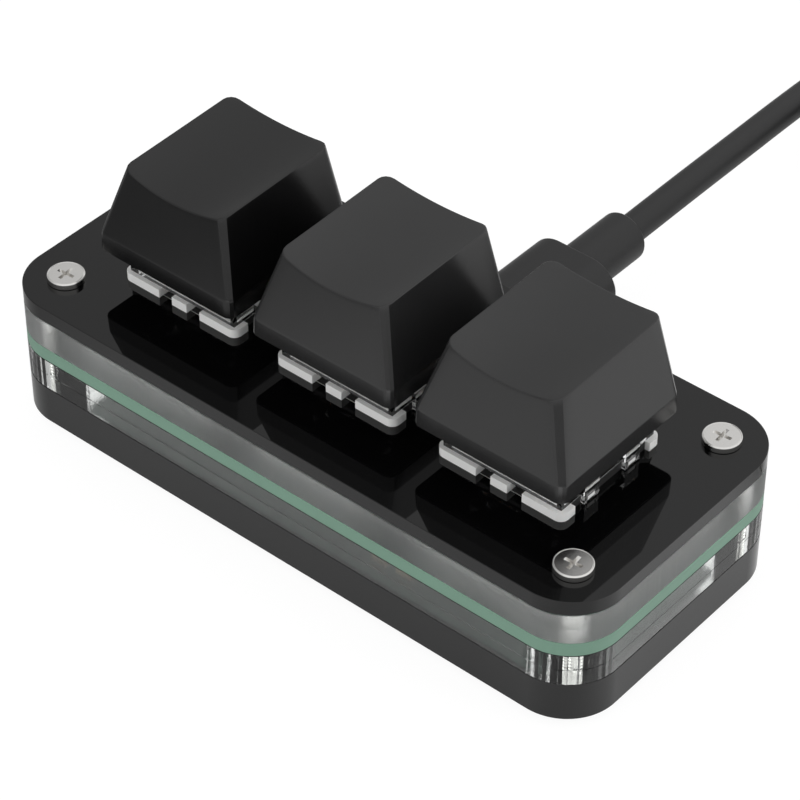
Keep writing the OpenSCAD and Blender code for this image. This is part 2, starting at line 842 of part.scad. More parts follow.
// Small block with a raised terminal at each end
module small_part(size) {
    end = size.x / 4;
    box([-size.x / 2 + end / 2, -size.y / 2 + part_rim, -size.z + part_rim],
        [size.x / 2 - end / 2, size.y / 2 - part_rim, -part_rim]);
    for (s = [0, 1]) mirror([s, 0, 0])
        box([size.x / 2 - end, -size.y / 2, -size.z], [size.x / 2, size.y / 2, 0]);
}

module capacitors() {
    color("tan") for (p = cap_parts) under_board(p) small_part(cap_part);
}

module resistors() {
    color(DARK) for (p = res_parts) under_board(p) small_part(res_part);
}

// Solder around each switch pin
module solder_joints() {
    color(STEEL) for (i = [1 : 3], p = [pin_a, pin_b]) difference() {
        under_board([(i - 2) * key_pitch + p.x, p.y])
            translate([0, 0, -solder_h]) cylinder(h = solder_h, d1 = solder_tip, d2 = solder_d);
        at_key(i) pin_box(p, press, -pin_low, 0);
    }
}

// Socket and plug

// Outline of the socket's shell: flat, with two corners cut
function usb_outline(w, h, c) = [[-w / 2, h / 2], [w / 2, h / 2], [w / 2, c - h / 2], [w / 2 - c, -h / 2],
    [c - w / 2, -h / 2], [-w / 2, c - h / 2]];

// Bar of that outline from y0 to y1
module usb_bar(w, h, c, y0, y1) {
    translate([0, y1, axis_z]) rotate([90, 0, 0]) linear_extrude(y1 - y0) polygon(usb_outline(w, h, c));
}

module usb_socket() {
    color(STEEL) {
        difference() {
            usb_bar(usb_w, usb_h, usb_cut, usb_y0, usb_y1);
            usb_bar(usb_w - 2 * usb_t, usb_h - 2 * usb_t, usb_cut - usb_t / 2,
                usb_y0 + usb_t, usb_y1 + cut);
        }
        for (s = [0, 1], y = usb_tab_at) mirror([s, 0, 0]) translate([0, usb_y0 + y, pcb_z - usb_t])
            box([usb_w / 2 - usb_t / 2, 0, 0], [usb_w / 2 + usb_tab_out, usb_tab_l, usb_t]);
    }
}

module usb_socket_tongue() {
    y = usb_y0 + usb_t;
    color(DARK) {
        usb_bar(usb_w - 2 * usb_t - 2 * press, usb_h - 2 * usb_t - 2 * press, usb_cut - usb_t / 2,
            y, y + tongue_back);
        box([-tongue_w / 2, y, axis_z - tongue_h / 2],
            [tongue_w / 2, y + tongue_back + tongue_l, axis_z + tongue_h / 2]);
    }
}

module plug_shell() {
    color(STEEL) difference() {
        usb_bar(metal_w, metal_h, usb_cut - usb_t / 2, metal_y0, plug_y0);
        usb_bar(metal_w - 2 * metal_t, metal_h - 2 * metal_t, usb_cut - usb_t,
            metal_y0 - cut, plug_y0 - metal_t);
    }
}

// Moulded body with round edges at both ends
module plug_body() {
    front = [for (a = [0 : 22.5 : 90])
        [plug_nose * (1 - sin(a)), plug_y0 + plug_nose * (1 - cos(a))]];
    back = [for (a = [90 : -22.5 : 0])
        [plug_edge * (1 - sin(a)), plug_y1 - plug_edge * (1 - cos(a))]];
    color(DARK) translate([0, 0, axis_z]) pill_bar(plug_w, plug_h, concat(front, back), 32);
}

// Sleeve with a round edge at its free end
module plug_sleeve() {
    r = sleeve_d / 2;
    e = sleeve_edge;
    color(DARK) translate([0, plug_y1, axis_z]) rotate([-90, 0, 0]) rotate_extrude()
        polygon(concat([[0, 0], [r, 0]],
            [for (a = [0 : 15 : 90]) [r - e + e * cos(a), sleeve_l - e + e * sin(a)]], [[0, sleeve_l]]));
}

// Cable

run_path = smooth(RUN, 3);
tail_path = smooth(TAIL, 3);

// Radius, height and place of the coil's line after t turns
function zigzag(t) = let (u = t / layer_turns, k = floor(u)) k % 2 == 0 ? u - k : 1 - u + k;
function coil_r(t) = coil_out - coil_step * layer_turns * zigzag(t);
function ease(x) = let (c = min(max(x, 0), 1)) c * c * (3 - 2 * c);
function coil_level(t) = [for (k = [1 : coil_layers - 1]) ease((t - k * layer_turns) / 2 / climb + 0.5)]
    * [for (k = [1 : coil_layers - 1]) 1];
function coil_point(t) = let (a = 180 - 360 * t)
    [coil_x + coil_r(t) * cos(a), coil_y + coil_r(t) * sin(a), coil_base + coil_step * coil_level(t)];
coil_path = concat([RUN[len(RUN) - 1]],
    [for (k = [0 : coil_turns * coil_rings]) coil_point(k / coil_rings)],
    [TAIL[0]]);

// Least distance between turns of the coil, less the cable's diameter
half_turn = coil_rings / 2;
coil_last = len(coil_path) - 1;
coil_gap = min([for (i = [0 : coil_last - half_turn], j = [i + half_turn : coil_last])
    norm(coil_path[i] - coil_path[j])]) - cable_d;
spring_gap = (spring_z1 - spring_z0) / spring_turns - spring_wire;
cable_length = path_length(run_path) + path_length(coil_path) + path_length(tail_path);
echo(coil_gap = coil_gap, spring_gap = spring_gap, cable_length = cable_length);

module cable_run() {
    color(DARK) tube(run_path, chord_dirs(run_path, [0, 1, 0], [0, 1, 0]), cable_d / 2, 8);
}

module cable_coil() {
    color(DARK) tube(coil_path, chord_dirs(coil_path, [0, 1, 0], [0, -1, 0]), cable_d / 2, 6);
}

module cable_tail() {
    color(DARK) tube(tail_path, chord_dirs(tail_path, [0, -1, 0], [0, -1, 0]), cable_d / 2, 8);
}

// Strap around the bundle, on the side of the coil away from the case
module cable_tie() {
    span = coil_out - coil_in + cable_d + 2 * tie_gap;
    rise = coil_step * (coil_layers - 1) + cable_d + tie_gap / 2;
    mid = coil_y + (coil_out + coil_in) / 2;
    color("dimgray") translate([coil_x + tie_w / 2, mid, tie_t + rise / 2]) rotate([90, 0, -90])
        linear_extrude(tie_w) difference() {
            round_rect(span + 2 * tie_t, rise + 2 * tie_t, tie_r + tie_t);
            round_rect(span, rise, tie_r);
        }
}

// Far plug

// Bar with a round-cornered section and round end edges, from y0 down to y1
module far_bar(w, h, r, y0, y1, edge) {
    translate([far_x, 0, far_z]) hull() for (a = [0 : 22.5 : 90]) {
        far_slice(w, h, r, edge * (1 - sin(a)), y0 - edge * (1 - cos(a)) - skin);
        far_slice(w, h, r, edge * (1 - sin(a)), y1 + edge * (1 - cos(a)));
    }
}

module far_slice(w, h, r, inset, y) {
    translate([0, y + skin, 0]) rotate([90, 0, 0]) linear_extrude(skin)
        round_rect(w - 2 * inset, h - 2 * inset, r - inset, $fn = 32);
}

module far_sleeve() {
    color(DARK) translate([far_x, far_y1, far_z]) rotate([90, 0, 0])
        cylinder(h = far_sleeve_l, d1 = far_sleeve_tip, d2 = far_sleeve_d);
}

module far_body() {
    color(DARK) far_bar(far_w, far_h, far_r, far_y2, far_y3, far_edge);
}

module far_shell() {
    color(STEEL) translate([far_x, far_y3, far_z]) difference() {
        box([-far_shell_w / 2, -far_shell_l, -far_shell_h / 2], [far_shell_w / 2, 0, far_shell_h / 2]);
        box([far_wall - far_shell_w / 2, -far_shell_l - cut, far_wall - far_shell_h / 2],
            [far_shell_w / 2 - far_wall, -far_wall, far_shell_h / 2 - far_wall]);
        for (x = [-window_x, window_x]) translate([x, -window_y, 0])
            cube([window_w, window_l, far_shell_h + cut], center = true);
    }
}

// Flat carrier of the far plug's contacts, on one side of its shell
module far_insert() {
    w = far_shell_w - 2 * far_wall - 2 * press;
    low = far_wall + press - far_shell_h / 2;
    color(WHITE) translate([far_x, far_y3, far_z])
        box([-w / 2, far_insert_in - far_shell_l, low], [w / 2, -far_wall, low + far_insert_h]);
}

base_plate();
lower_spacer();
pcb();
upper_spacer();
top_plate();
case_screws();
case_nuts();
rubber_feet();
switch_housing(1);  // switch_housing_1
switch_housing(2);  // switch_housing_2
switch_housing(3);  // switch_housing_3
switch_cover(1);  // switch_cover_1
switch_cover(2);  // switch_cover_2
switch_cover(3);  // switch_cover_3
switch_contacts(1);  // switch_contacts_1
switch_contacts(2);  // switch_contacts_2
switch_contacts(3);  // switch_contacts_3
key_spring(1);  // key_spring_1
key_spring(2);  // key_spring_2
key_spring(3);  // key_spring_3
key_stem(1);  // key_stem_1
key_stem(2);  // key_stem_2
key_stem(3);  // key_stem_3
keycap(1);  // keycap_1
keycap(2);  // keycap_2
keycap(3);  // keycap_3
controller_chip();
chip_leads();
capacitors();
resistors();
solder_joints();
usb_socket();
usb_socket_tongue();
plug_shell();
plug_body();
plug_sleeve();
cable_run();
cable_coil();
cable_tail();
cable_tie();
far_sleeve();
far_body();
far_shell();
far_insert();
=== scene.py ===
"""Looks of a layered three-key macro keypad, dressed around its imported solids.

Sizes in the classes are millimetres. Meshes are made in metres, in the frame of the solids:
+X runs along the row of keys, +Y to the side where the cable leaves, and the feet stand on z = 0.
"""

from __future__ import annotations

import logging
import math
from collections.abc import Callable, Iterable, Sequence
from dataclasses import dataclass
from enum import Enum

import bmesh
import bpy
from mathutils import Matrix, Vector


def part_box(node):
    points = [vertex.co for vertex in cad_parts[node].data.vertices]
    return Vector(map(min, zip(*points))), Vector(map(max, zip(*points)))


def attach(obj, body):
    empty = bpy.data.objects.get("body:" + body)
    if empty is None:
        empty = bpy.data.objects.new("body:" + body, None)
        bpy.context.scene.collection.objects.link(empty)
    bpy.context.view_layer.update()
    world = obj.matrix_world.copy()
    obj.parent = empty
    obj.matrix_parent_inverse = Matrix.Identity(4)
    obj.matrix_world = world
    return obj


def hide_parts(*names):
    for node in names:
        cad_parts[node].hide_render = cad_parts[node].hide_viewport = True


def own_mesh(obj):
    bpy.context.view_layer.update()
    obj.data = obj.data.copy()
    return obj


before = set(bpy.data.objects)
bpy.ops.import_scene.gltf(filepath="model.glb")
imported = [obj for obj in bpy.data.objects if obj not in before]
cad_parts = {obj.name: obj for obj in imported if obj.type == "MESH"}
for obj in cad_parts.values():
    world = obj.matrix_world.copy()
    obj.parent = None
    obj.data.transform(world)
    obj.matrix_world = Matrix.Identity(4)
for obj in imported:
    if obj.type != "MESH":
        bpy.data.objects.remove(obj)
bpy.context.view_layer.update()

LOG = logging.getLogger("keypad")
MM = 0.001
WHITE = (1.0, 1.0, 1.0, 1.0)
Point = tuple[float, float]
Span = tuple[float, float]
Colour = tuple[float, float, float]
Ring = list[Vector]


# Shared sizes


@dataclass(frozen=True)
class StackSizes:
    """Levels and places that several pieces of the case share."""

    length: float = 74.2
    depth: float = 32.6
    corner: float = 5.85
    base_low: float = 1.0
    base_top: float = 5.6
    board_low: float = 9.35
    board_top: float = 10.95
    plate_low: float = 14.5
    plate_top: float = 16.2
    screw_x: float = 32.3
    screw_y: float = 11.4
    pitch: float = 20.4
    plug_axis: float = 8.05

    def key_x(self, number: int) -> float:
        """Place of a key along the row; the keys are numbered 1 to 3."""
        return (number - 2) * self.pitch

    def corners(self) -> list[Point]:
        """Places of the four screws."""
        return [(sx * self.screw_x, sy * self.screw_y) for sx in (-1, 1) for sy in (-1, 1)]


STACK = StackSizes()
KEYS = (1, 2, 3)


# Outlines


def outline(
    left: float,
    right: float,
    front: float,
    back: float,
    radius: float,
    corner_steps: int = 12,
    side_steps: int = 1,
) -> list[Point]:
    """Rectangle with round corners, counter-clockwise from the start of its front right corner.

    Args:
        left, right, front, back: Its four sides.
        radius: Radius of the corners.
        corner_steps: Steps in each corner.
        side_steps: Steps in each straight side.

    Returns:
        The points of the outline.
    """
    centres = [
        (right - radius, front + radius, -90),
        (right - radius, back - radius, 0),
        (left + radius, back - radius, 90),
        (left + radius, front + radius, 180),
    ]
    turns = [90 * step / corner_steps for step in range(corner_steps + 1)]
    points: list[Point] = []
    for number, (x, y, start) in enumerate(centres):
        for turn in turns:
            angle = math.radians(start + turn)
            points.append((x + radius * math.cos(angle), y + radius * math.sin(angle)))
        next_x, next_y, next_start = centres[(number + 1) % 4]
        angle = math.radians(next_start)
        goal = (next_x + radius * math.cos(angle), next_y + radius * math.sin(angle))
        here = points[-1]
        for step in range(1, side_steps):
            share = step / side_steps
            points.append((here[0] + (goal[0] - here[0]) * share, here[1] + (goal[1] - here[1]) * share))
    return points


def inset(points: Sequence[Point], depth: float) -> list[Point]:
    """Draws a counter-clockwise outline in.

    Args:
        points: The outline.
        depth: How far it moves in; it moves out by a negative one.

    Returns:
        The new outline.
    """
    moved: list[Point] = []
    count = len(points)
    for number, here in enumerate(points):
        before, after = Vector(points[number - 1]), Vector(points[(number + 1) % count])
        first, second = Vector(here) - before, after - Vector(here)
        one = Vector((-first.y, first.x)).normalized()
        two = Vector((-second.y, second.x)).normalized()
        shift = (one + two) * depth / max(0.3, 1 + one.dot(two))
        moved.append((here[0] + shift.x, here[1] + shift.y))
    return moved


def even_angles(count: int) -> list[float]:
    """Angles at equal steps round the circle, in radians."""
    return [2 * math.pi * k / count for k in range(count)]


def polar(
    radius_at: Callable[[float], float], angles: Sequence[float], x: float = 0, y: float = 0
) -> list[Point]:
    """Outline given by a radius at each angle, around a centre."""
    return [(x + radius_at(a) * math.cos(a), y + radius_at(a) * math.sin(a)) for a in angles]


def circle(radius: float, angles: Sequence[float], x: float = 0, y: float = 0) -> list[Point]:
    """Round outline with a point at each angle, around a centre."""
    return polar(lambda _angle: radius, angles, x, y)


def hexagon_radius(flats: float) -> Callable[[float], float]:
    """Radius of a hexagon with a corner at angle 0, from its width across flats."""
    sixth = math.pi / 3
    return lambda a: flats / 2 / math.cos((a % sixth) - sixth / 2)


def quarter_round(radius: float, steps: int) -> list[Point]:
    """Points of a rounded edge from its side (radius, 0) to its end (0, radius)."""
    angles = [math.radians(90 * k / steps) for k in range(steps + 1)]
    return [(radius * math.cos(a), radius * math.sin(a)) for a in angles]


@dataclass(frozen=True)
class CrossOutline:
    """Cross of two bars, each given by half its length and half its width."""

    long_x: float
    wide_x: float
    long_y: float
    wide_y: float

    def radius(self, angle: float) -> float:
        """Distance from the centre to the edge of the cross.

        Args:
            angle: Direction, in radians.

        Returns:
            The distance.
        """
        c, s = max(1e-9, abs(math.cos(angle))), max(1e-9, abs(math.sin(angle)))
        along_x = min(self.long_x / c, self.wide_x / s)
        along_y = min(self.long_y / s, self.wide_y / c)
        return max(along_x, along_y)

    def wider(self, gap: float) -> Callable[[float], float]:
        """Radius of the outline that lies a gap outside the cross."""
        return lambda angle: self.radius(angle) + gap

    def angles(self, steps: int) -> list[float]:
        """Angles of the cross's twelve corners and of points between them.

        Args:
            steps: Equal steps between two corners.

        Returns:
            The angles, in radians.
        """
        quarter = [
            math.atan2(self.wide_x, self.long_x),
            math.atan2(self.wide_x, self.wide_y),
            math.atan2(self.long_y, self.wide_y),
        ]
        corners = [*quarter, *(math.pi - a for a in reversed(quarter))]
        corners += [math.pi + a for a in quarter]
        corners += [2 * math.pi - a for a in reversed(quarter)]
        found: list[float] = []
        for number, start in enumerate(corners):
            end = corners[(number + 1) % len(corners)]
            span = (end - start) % (2 * math.pi)
            found += [start + span * k / steps for k in range(steps)]
        return found


def level(points: Iterable[Point], z: float) -> Ring:
    """Lifts an outline to a height."""
    return [Vector((x, y, z)) for x, y in points]


# Building meshes


class Shape:
    """Points and faces of a piece in millimetres, before they become a mesh."""

    def __init__(self) -> None:
        """Starts without points."""
        self.points: list[Vector] = []
        self.faces: list[tuple[list[int], int]] = []
        self.fills: list[tuple[list[list[int]], int]] = []

    def ring(self, points: Iterable[Sequence[float]]) -> list[int]:
        """Adds points.

        Args:
            points: Their places.

        Returns:
            Their numbers.
        """
        start = len(self.points)
        self.points += [Vector(p) for p in points]
        return list(range(start, len(self.points)))

    def strip(self, low: Sequence[int], high: Sequence[int], paint: int = 0) -> None:
        """Joins two rings with a band of faces.

        Args:
            low, high: Numbers of the rings' points, as many in one as in the other.
            paint: Number of the finish.
        """
        count = len(low)
        for k in range(count):
            after = (k + 1) % count
            self.faces.append(([low[k], low[after], high[after], high[k]], paint))

    def loft(self, rings: Sequence[Iterable[Sequence[float]]], closed: bool = True) -> list[list[int]]:
        """Joins rings one after the other.

        Args:
            rings: The rings, from one end to the other.
            closed: Whether a fan closes each end.

        Returns:
            The numbers of each ring's points.
        """
        made = [self.ring(r) for r in rings]
        for low, high in zip(made, made[1:]):
            self.strip(low, high)
        if closed:
            self.fan(made[0])
            self.fan(made[-1])
        return made

    def hoop(self, rings: Sequence[Iterable[Sequence[float]]]) -> None:
        """Joins rings one after the other, and the last one to the first."""
        made = self.loft(rings, closed=False)
        self.strip(made[-1], made[0])

    def fan(self, ring: Sequence[int]) -> None:
        """Closes a ring with triangles round its middle.

        Args:
            ring: Numbers of its points.
        """
        middle = sum((self.points[k] for k in ring), Vector()) / len(ring)
        centre = self.ring([middle])[0]
        for k, here in enumerate(ring):
            self.faces.append(([here, ring[(k + 1) % len(ring)], centre], 0))

    def fill(self, rings: list[list[int]], paint: int = 0) -> None:
        """Closes the flat area between an outline and the holes in it."""
        self.fills.append((rings, paint))

    def mesh(self, name: str) -> bpy.types.Mesh:
        """Makes the mesh in metres, with its doubles merged and its normals outwards.

        Args:
            name: Name of the mesh.

        Returns:
            The mesh.
        """
        bm = bmesh.new()
        verts = [bm.verts.new(p * MM) for p in self.points]
        for numbers, paint in self.faces:
            face = bm.faces.new([verts[k] for k in numbers])
            face.material_index = paint
        for rings, paint in self.fills:
            edges = []
            for ring in rings:
                for k, here in enumerate(ring):
                    pair = (verts[here], verts[ring[(k + 1) % len(ring)]])
                    edges.append(bm.edges.get(pair) or bm.edges.new(pair))
            made = bmesh.ops.triangle_fill(bm, use_beauty=True, use_dissolve=False, edges=edges)
            for part in made["geom"]:
                if isinstance(part, bmesh.types.BMFace):
                    part.material_index = paint
        bmesh.ops.remove_doubles(bm, verts=bm.verts, dist=1e-7)
        bmesh.ops.dissolve_degenerate(bm, dist=1e-8, edges=bm.edges)
        bmesh.ops.recalc_face_normals(bm, faces=bm.faces)
        mesh = bpy.data.meshes.new(name)
        bm.to_mesh(mesh)
        bm.free()
        return mesh


@dataclass(frozen=True)
class Wall:
    """One wall of a plate: rings of equal length from its lower to its upper face."""

    rings: tuple[tuple[tuple[Point, ...], float], ...]

    @classmethod
    def straight(
        cls, points: Sequence[Point], low: float, high: float, edge: float = 0.0, groove: float = 0.0
    ) -> Wall:
        """Upright wall whose two edges are broken by a small amount.

        Args:
            points: Its outline.
            low, high: Its lower and upper end.
            edge: Width of the broken edges.
            groove: Depth of the fine line that a cutter leaves at mid height.

        Returns:
            The wall.
        """
        whole = tuple(points)
        if not edge:
            return cls(((whole, low), (whole, high)))
        drawn = tuple(inset(points, edge))
        middle, half = (low + high) / 2, 0.05
        line = tuple(inset(points, groove))
        between = ((whole, middle - half), (line, middle), (whole, middle + half)) if groove else ()
        return cls(((drawn, low), (whole, low + edge), *between, (whole, high - edge), (drawn, high)))


def plate_shape(
    outer: Wall, holes: Sequence[Wall], edge_paint: int = 0, seam_shade_paint: int | None = None
) -> Shape:
    """Flat plate with holes.

    Args:
        outer: The wall round its outline.
        holes: The walls of its holes.
        edge_paint: Number of the finish on the walls; the two faces have finish 0.
        seam_shade_paint: Number of the finish on the outer wall's lowest and highest strip, if not the
            wall's own; a dark one there is painted shade where the sheet meets its neighbours.

    Returns:
        The plate's shape.
    """
    shape = Shape()
    walls = []
    for wall in (outer, *holes):
        rings = [shape.ring(level(p, z)) for p, z in wall.rings]
        for number, (low, high) in enumerate(zip(rings, rings[1:])):
            # Strips that may take a dark finish of painted shade.
            seam = seam_shade_paint is not None and wall is outer and number in (0, len(rings) - 2)
            shape.strip(low, high, seam_shade_paint if seam else edge_paint)
        walls.append(rings)
    shape.fill([w[0] for w in walls])
    shape.fill([w[-1] for w in walls])
    return shape


def new_object(name: str, data: bpy.types.ID) -> bpy.types.Object:
    """Puts new data into the scene as an object.

    Args:
        name: Name of the object.
        data: Its mesh, camera or lamp.

    Returns:
        The object.
    """
    made = bpy.data.objects.new(name, data)
    bpy.context.scene.collection.objects.link(made)
    return made


def bake(holder: bpy.types.Object, name: str) -> bpy.types.Object:
    """Turns an object with modifiers into a plain piece at the origin.

    Args:
        holder: The object; it is removed.
        name: Name of the finished piece.

    Returns:
        The finished piece.
    """
    graph = bpy.context.evaluated_depsgraph_get()
    mesh = bpy.data.meshes.new_from_object(holder.evaluated_get(graph), depsgraph=graph)
    finishes = list(holder.data.materials)
    numbers = [face.material_index for face in mesh.polygons]
    bpy.data.objects.remove(holder)
    mesh.name = name
    mesh.materials.clear()
    for finish in finishes:
        mesh.materials.append(finish)
    mesh.polygons.foreach_set("material_index", numbers)
    return new_object(name, mesh)


def smooth(mesh: bpy.types.Mesh, crease: float) -> None:
    """Shades a mesh smooth, with its edges above the crease angle kept sharp."""
    mesh.shade_smooth()
    mesh.set_sharp_from_angle(angle=math.radians(crease))


def make_piece(
    name: str,
    mesh: bpy.types.Mesh,
    finishes: Sequence[bpy.types.Material],
    crease: float = 30.0,
    bevel: float = 0.0,
) -> bpy.types.Object:
    """Makes an object of a mesh, with its edges rounded and its normals weighted.

    Args:
        name: Name of the piece.
        mesh: Its mesh, in metres.
        finishes: Its materials.
        crease: Angle above which an edge stays sharp or gets the bevel.
        bevel: Width of the rounding on such edges, in millimetres.

    Returns:
        The piece, as a plain mesh.
    """
    for finish in finishes:
        mesh.materials.append(finish)
    smooth(mesh, crease)
    holder = new_object(name + "_raw", mesh)
    if bevel:
        rounding = holder.modifiers.new("rounding", "BEVEL")
        rounding.width = bevel * MM
        rounding.segments = 2
        rounding.limit_method = "ANGLE"
        rounding.angle_limit = math.radians(crease)
        rounding.use_clamp_overlap = True
    weights = holder.modifiers.new("weights", "WEIGHTED_NORMAL")
    weights.keep_sharp = True
    return bake(holder, name)


def merged_copy(node: str, shrink: float = 0.0) -> bpy.types.Mesh:
    """Copy of a solid's mesh with its triangles joined into flat faces.

    Args:
        node: Name of the solid.
        shrink: How far every face moves inwards, in millimetres.

    Returns:
        The copy.
    """
    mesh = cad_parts[node].data.copy()
    mesh.name = node + "_copy"
    mesh.materials.clear()
    bm = bmesh.new()
    bm.from_mesh(mesh)
    bmesh.ops.remove_doubles(bm, verts=bm.verts, dist=2e-6)
    bmesh.ops.dissolve_limit(bm, angle_limit=math.radians(0.5), verts=bm.verts, edges=bm.edges)
    if shrink:
        bm.normal_update()
        for vert in bm.verts:
            vert.co -= vert.normal * vert.calc_shell_factor() * shrink * MM
    bm.to_mesh(mesh)
    bm.free()
    return mesh


def sweep(shape: Shape, path: Sequence[Vector], radius: float, sides: int) -> None:
    """Adds a round tube along a path that is never upright.

    Args:
        shape: The shape that gets the tube.
        path: Points of its centre line.
        radius: Its radius.
        sides: Number of its sides.
    """
    rings = []
    for number, here in enumerate(path):
        before, after = path[max(number - 1, 0)], path[min(number + 1, len(path) - 1)]
        along = (after - before).normalized()
        side = along.cross(Vector((0, 0, 1))).normalized()
        up = side.cross(along)
        rings.append([here + radius * (side * math.cos(a) + up * math.sin(a)) for a in even_angles(sides)])
    shape.loft(rings)


def revolve(profile: Sequence[Point], count: int) -> Shape:
    """Piece turned about the upright axis.

    Args:
        profile: Radius and height of its rings.
        count: Number of its sides.

    Returns:
        The piece's shape.
    """
    shape = Shape()
    shape.loft([level(circle(radius, even_angles(count)), z) for radius, z in profile])
    return shape


# Node trees


class Tree:
    """Node tree with short ways to add and join nodes."""

    def __init__(self, tree: bpy.types.NodeTree) -> None:
        """Wraps a tree of Blender's."""
        self.tree = tree
        self.nodes = tree.nodes

    def socket(self, name: str, kind: str, value: float | None = None, out: bool = False) -> str:
        """Adds an input or an output to the tree's own interface.

        Args:
            name: Its name.
            kind: Its kind, such as Float.
            value: Its value at first, if it needs one.
            out: Whether it is an output.

        Returns:
            Its identifier.
        """
        side = "OUTPUT" if out else "INPUT"
        made = self.tree.interface.new_socket(name, in_out=side, socket_type="NodeSocket" + kind)
        if value is not None:
            made.default_value = value
        return made.identifier

    def fit(self, node: bpy.types.Node, *given: object, **named: object) -> bpy.types.Node:
        """Sets a node's inputs: a socket is linked, and anything else is its value.

        Args:
            node: The node.
            given: Its first inputs in order; None leaves one as it is.
            named: Further inputs by name, with underscores for spaces.

        Returns:
            The node.
        """
        values = [(number, value) for number, value in enumerate(given) if value is not None]
        values += [(name.replace("_", " "), value) for name, value in named.items()]
        for place, value in values:
            if isinstance(value, bpy.types.NodeSocket):
                self.tree.links.new(value, node.inputs[place])
            else:
                node.inputs[place].default_value = value
        return node

    def add(self, kind: str, *given: object, **named: object) -> bpy.types.Node:
        """Adds a node and sets its inputs as fit does."""
        return self.fit(self.nodes.new(kind), *given, **named)

    def math(self, operation: str, *values: object) -> bpy.types.NodeSocket:
        """Adds a Math node.

        Args:
            operation: What it does.
            values: Its one or two inputs.

        Returns:
            Its output.
        """
        node = self.nodes.new("ShaderNodeMath")
        node.operation = operation
        return self.fit(node, *values).outputs[0]

    def product(self, first: bpy.types.NodeSocket, *others: object) -> bpy.types.NodeSocket:
        """Multiplies several values.

        Args:
            first: The first value.
            others: The other values.

        Returns:
            Their product.
        """
        for other in others:
            first = self.math("MULTIPLY", first, other)
        return first

    def ranged(
        self,
        value: bpy.types.NodeSocket,
        given: Span = (0.0, 1.0),
        wanted: Span = (0.0, 1.0),
        soft: bool = False,
    ) -> bpy.types.NodeSocket:
        """Turns a value between two given ones into one between two wanted ones.

        Args:
            value: The value.
            given: Where it starts and ends.
            wanted: What it becomes there.
            soft: Whether it sets off and arrives gently.

        Returns:
            The new value.
        """
        node = self.nodes.new("ShaderNodeMapRange")
        node.interpolation_type = "SMOOTHSTEP" if soft else "LINEAR"
        names = ("From Min", "From Max", "To Min", "To Max")
        for name, number in zip(names, (*given, *wanted)):
            node.inputs[name].default_value = number
        return self.fit(node, Value=value).outputs["Result"]

    def mixed(
        self, share: bpy.types.NodeSocket, first: bpy.types.Node, second: bpy.types.Node
    ) -> bpy.types.Node:
        """Mixes two shaders by the share of the second."""
        return self.add("ShaderNodeMixShader", share, first.outputs[0], second.outputs[0])

    def summed(self, first: bpy.types.Node, second: bpy.types.Node) -> bpy.types.Node:
        """Adds two shaders."""
        return self.add("ShaderNodeAddShader", first.outputs[0], second.outputs[0])


# Placing with geometry nodes


class PieceTree(Tree):
    """Geometry node tree with named inputs that ends in real geometry with a finish."""

    def __init__(self, name: str, inputs: dict[str, str]) -> None:
        """Starts the tree.

        Args:
            name: Its name.
            inputs: The kind of each of its inputs.
        """
        super().__init__(bpy.data.node_groups.new(name, "GeometryNodeTree"))
        self.socket("Geometry", "Geometry", out=True)
        self.keys = {label: self.socket(label, kind) for label, kind in inputs.items()}
        self.given = self.nodes.new("NodeGroupInput").outputs

    def close(self, geometry: bpy.types.NodeSocket) -> None:
        """Makes the geometry real, gives it the finish and puts it out.

        Args:
            geometry: The geometry.
        """
        real = self.add("GeometryNodeRealizeInstances", geometry)
        dress = self.add("GeometryNodeSetMaterial", Geometry=real.outputs[0], Material=self.given["Finish"])
        self.add("NodeGroupOutput", Geometry=dress.outputs[0])

    def run(
        self, name: str, mesh: bpy.types.Mesh, finish: bpy.types.Material, values: dict[str, float]
    ) -> bpy.types.Object:
        """Runs the tree.

        Args:
            name: Name of the finished piece.
            mesh: Mesh that the tree works on.
            finish: Material of the piece.
            values: The tree's other inputs.

        Returns:
            The result as a plain piece.
        """
        mesh.materials.append(finish)
        holder = new_object(name + "_raw", mesh)
        modifier = holder.modifiers.new(self.tree.name, "NODES")
        modifier.node_group = self.tree
        for label, value in (*values.items(), ("Finish", finish)):
            modifier[self.keys[label]] = value
        return bake(holder, name)


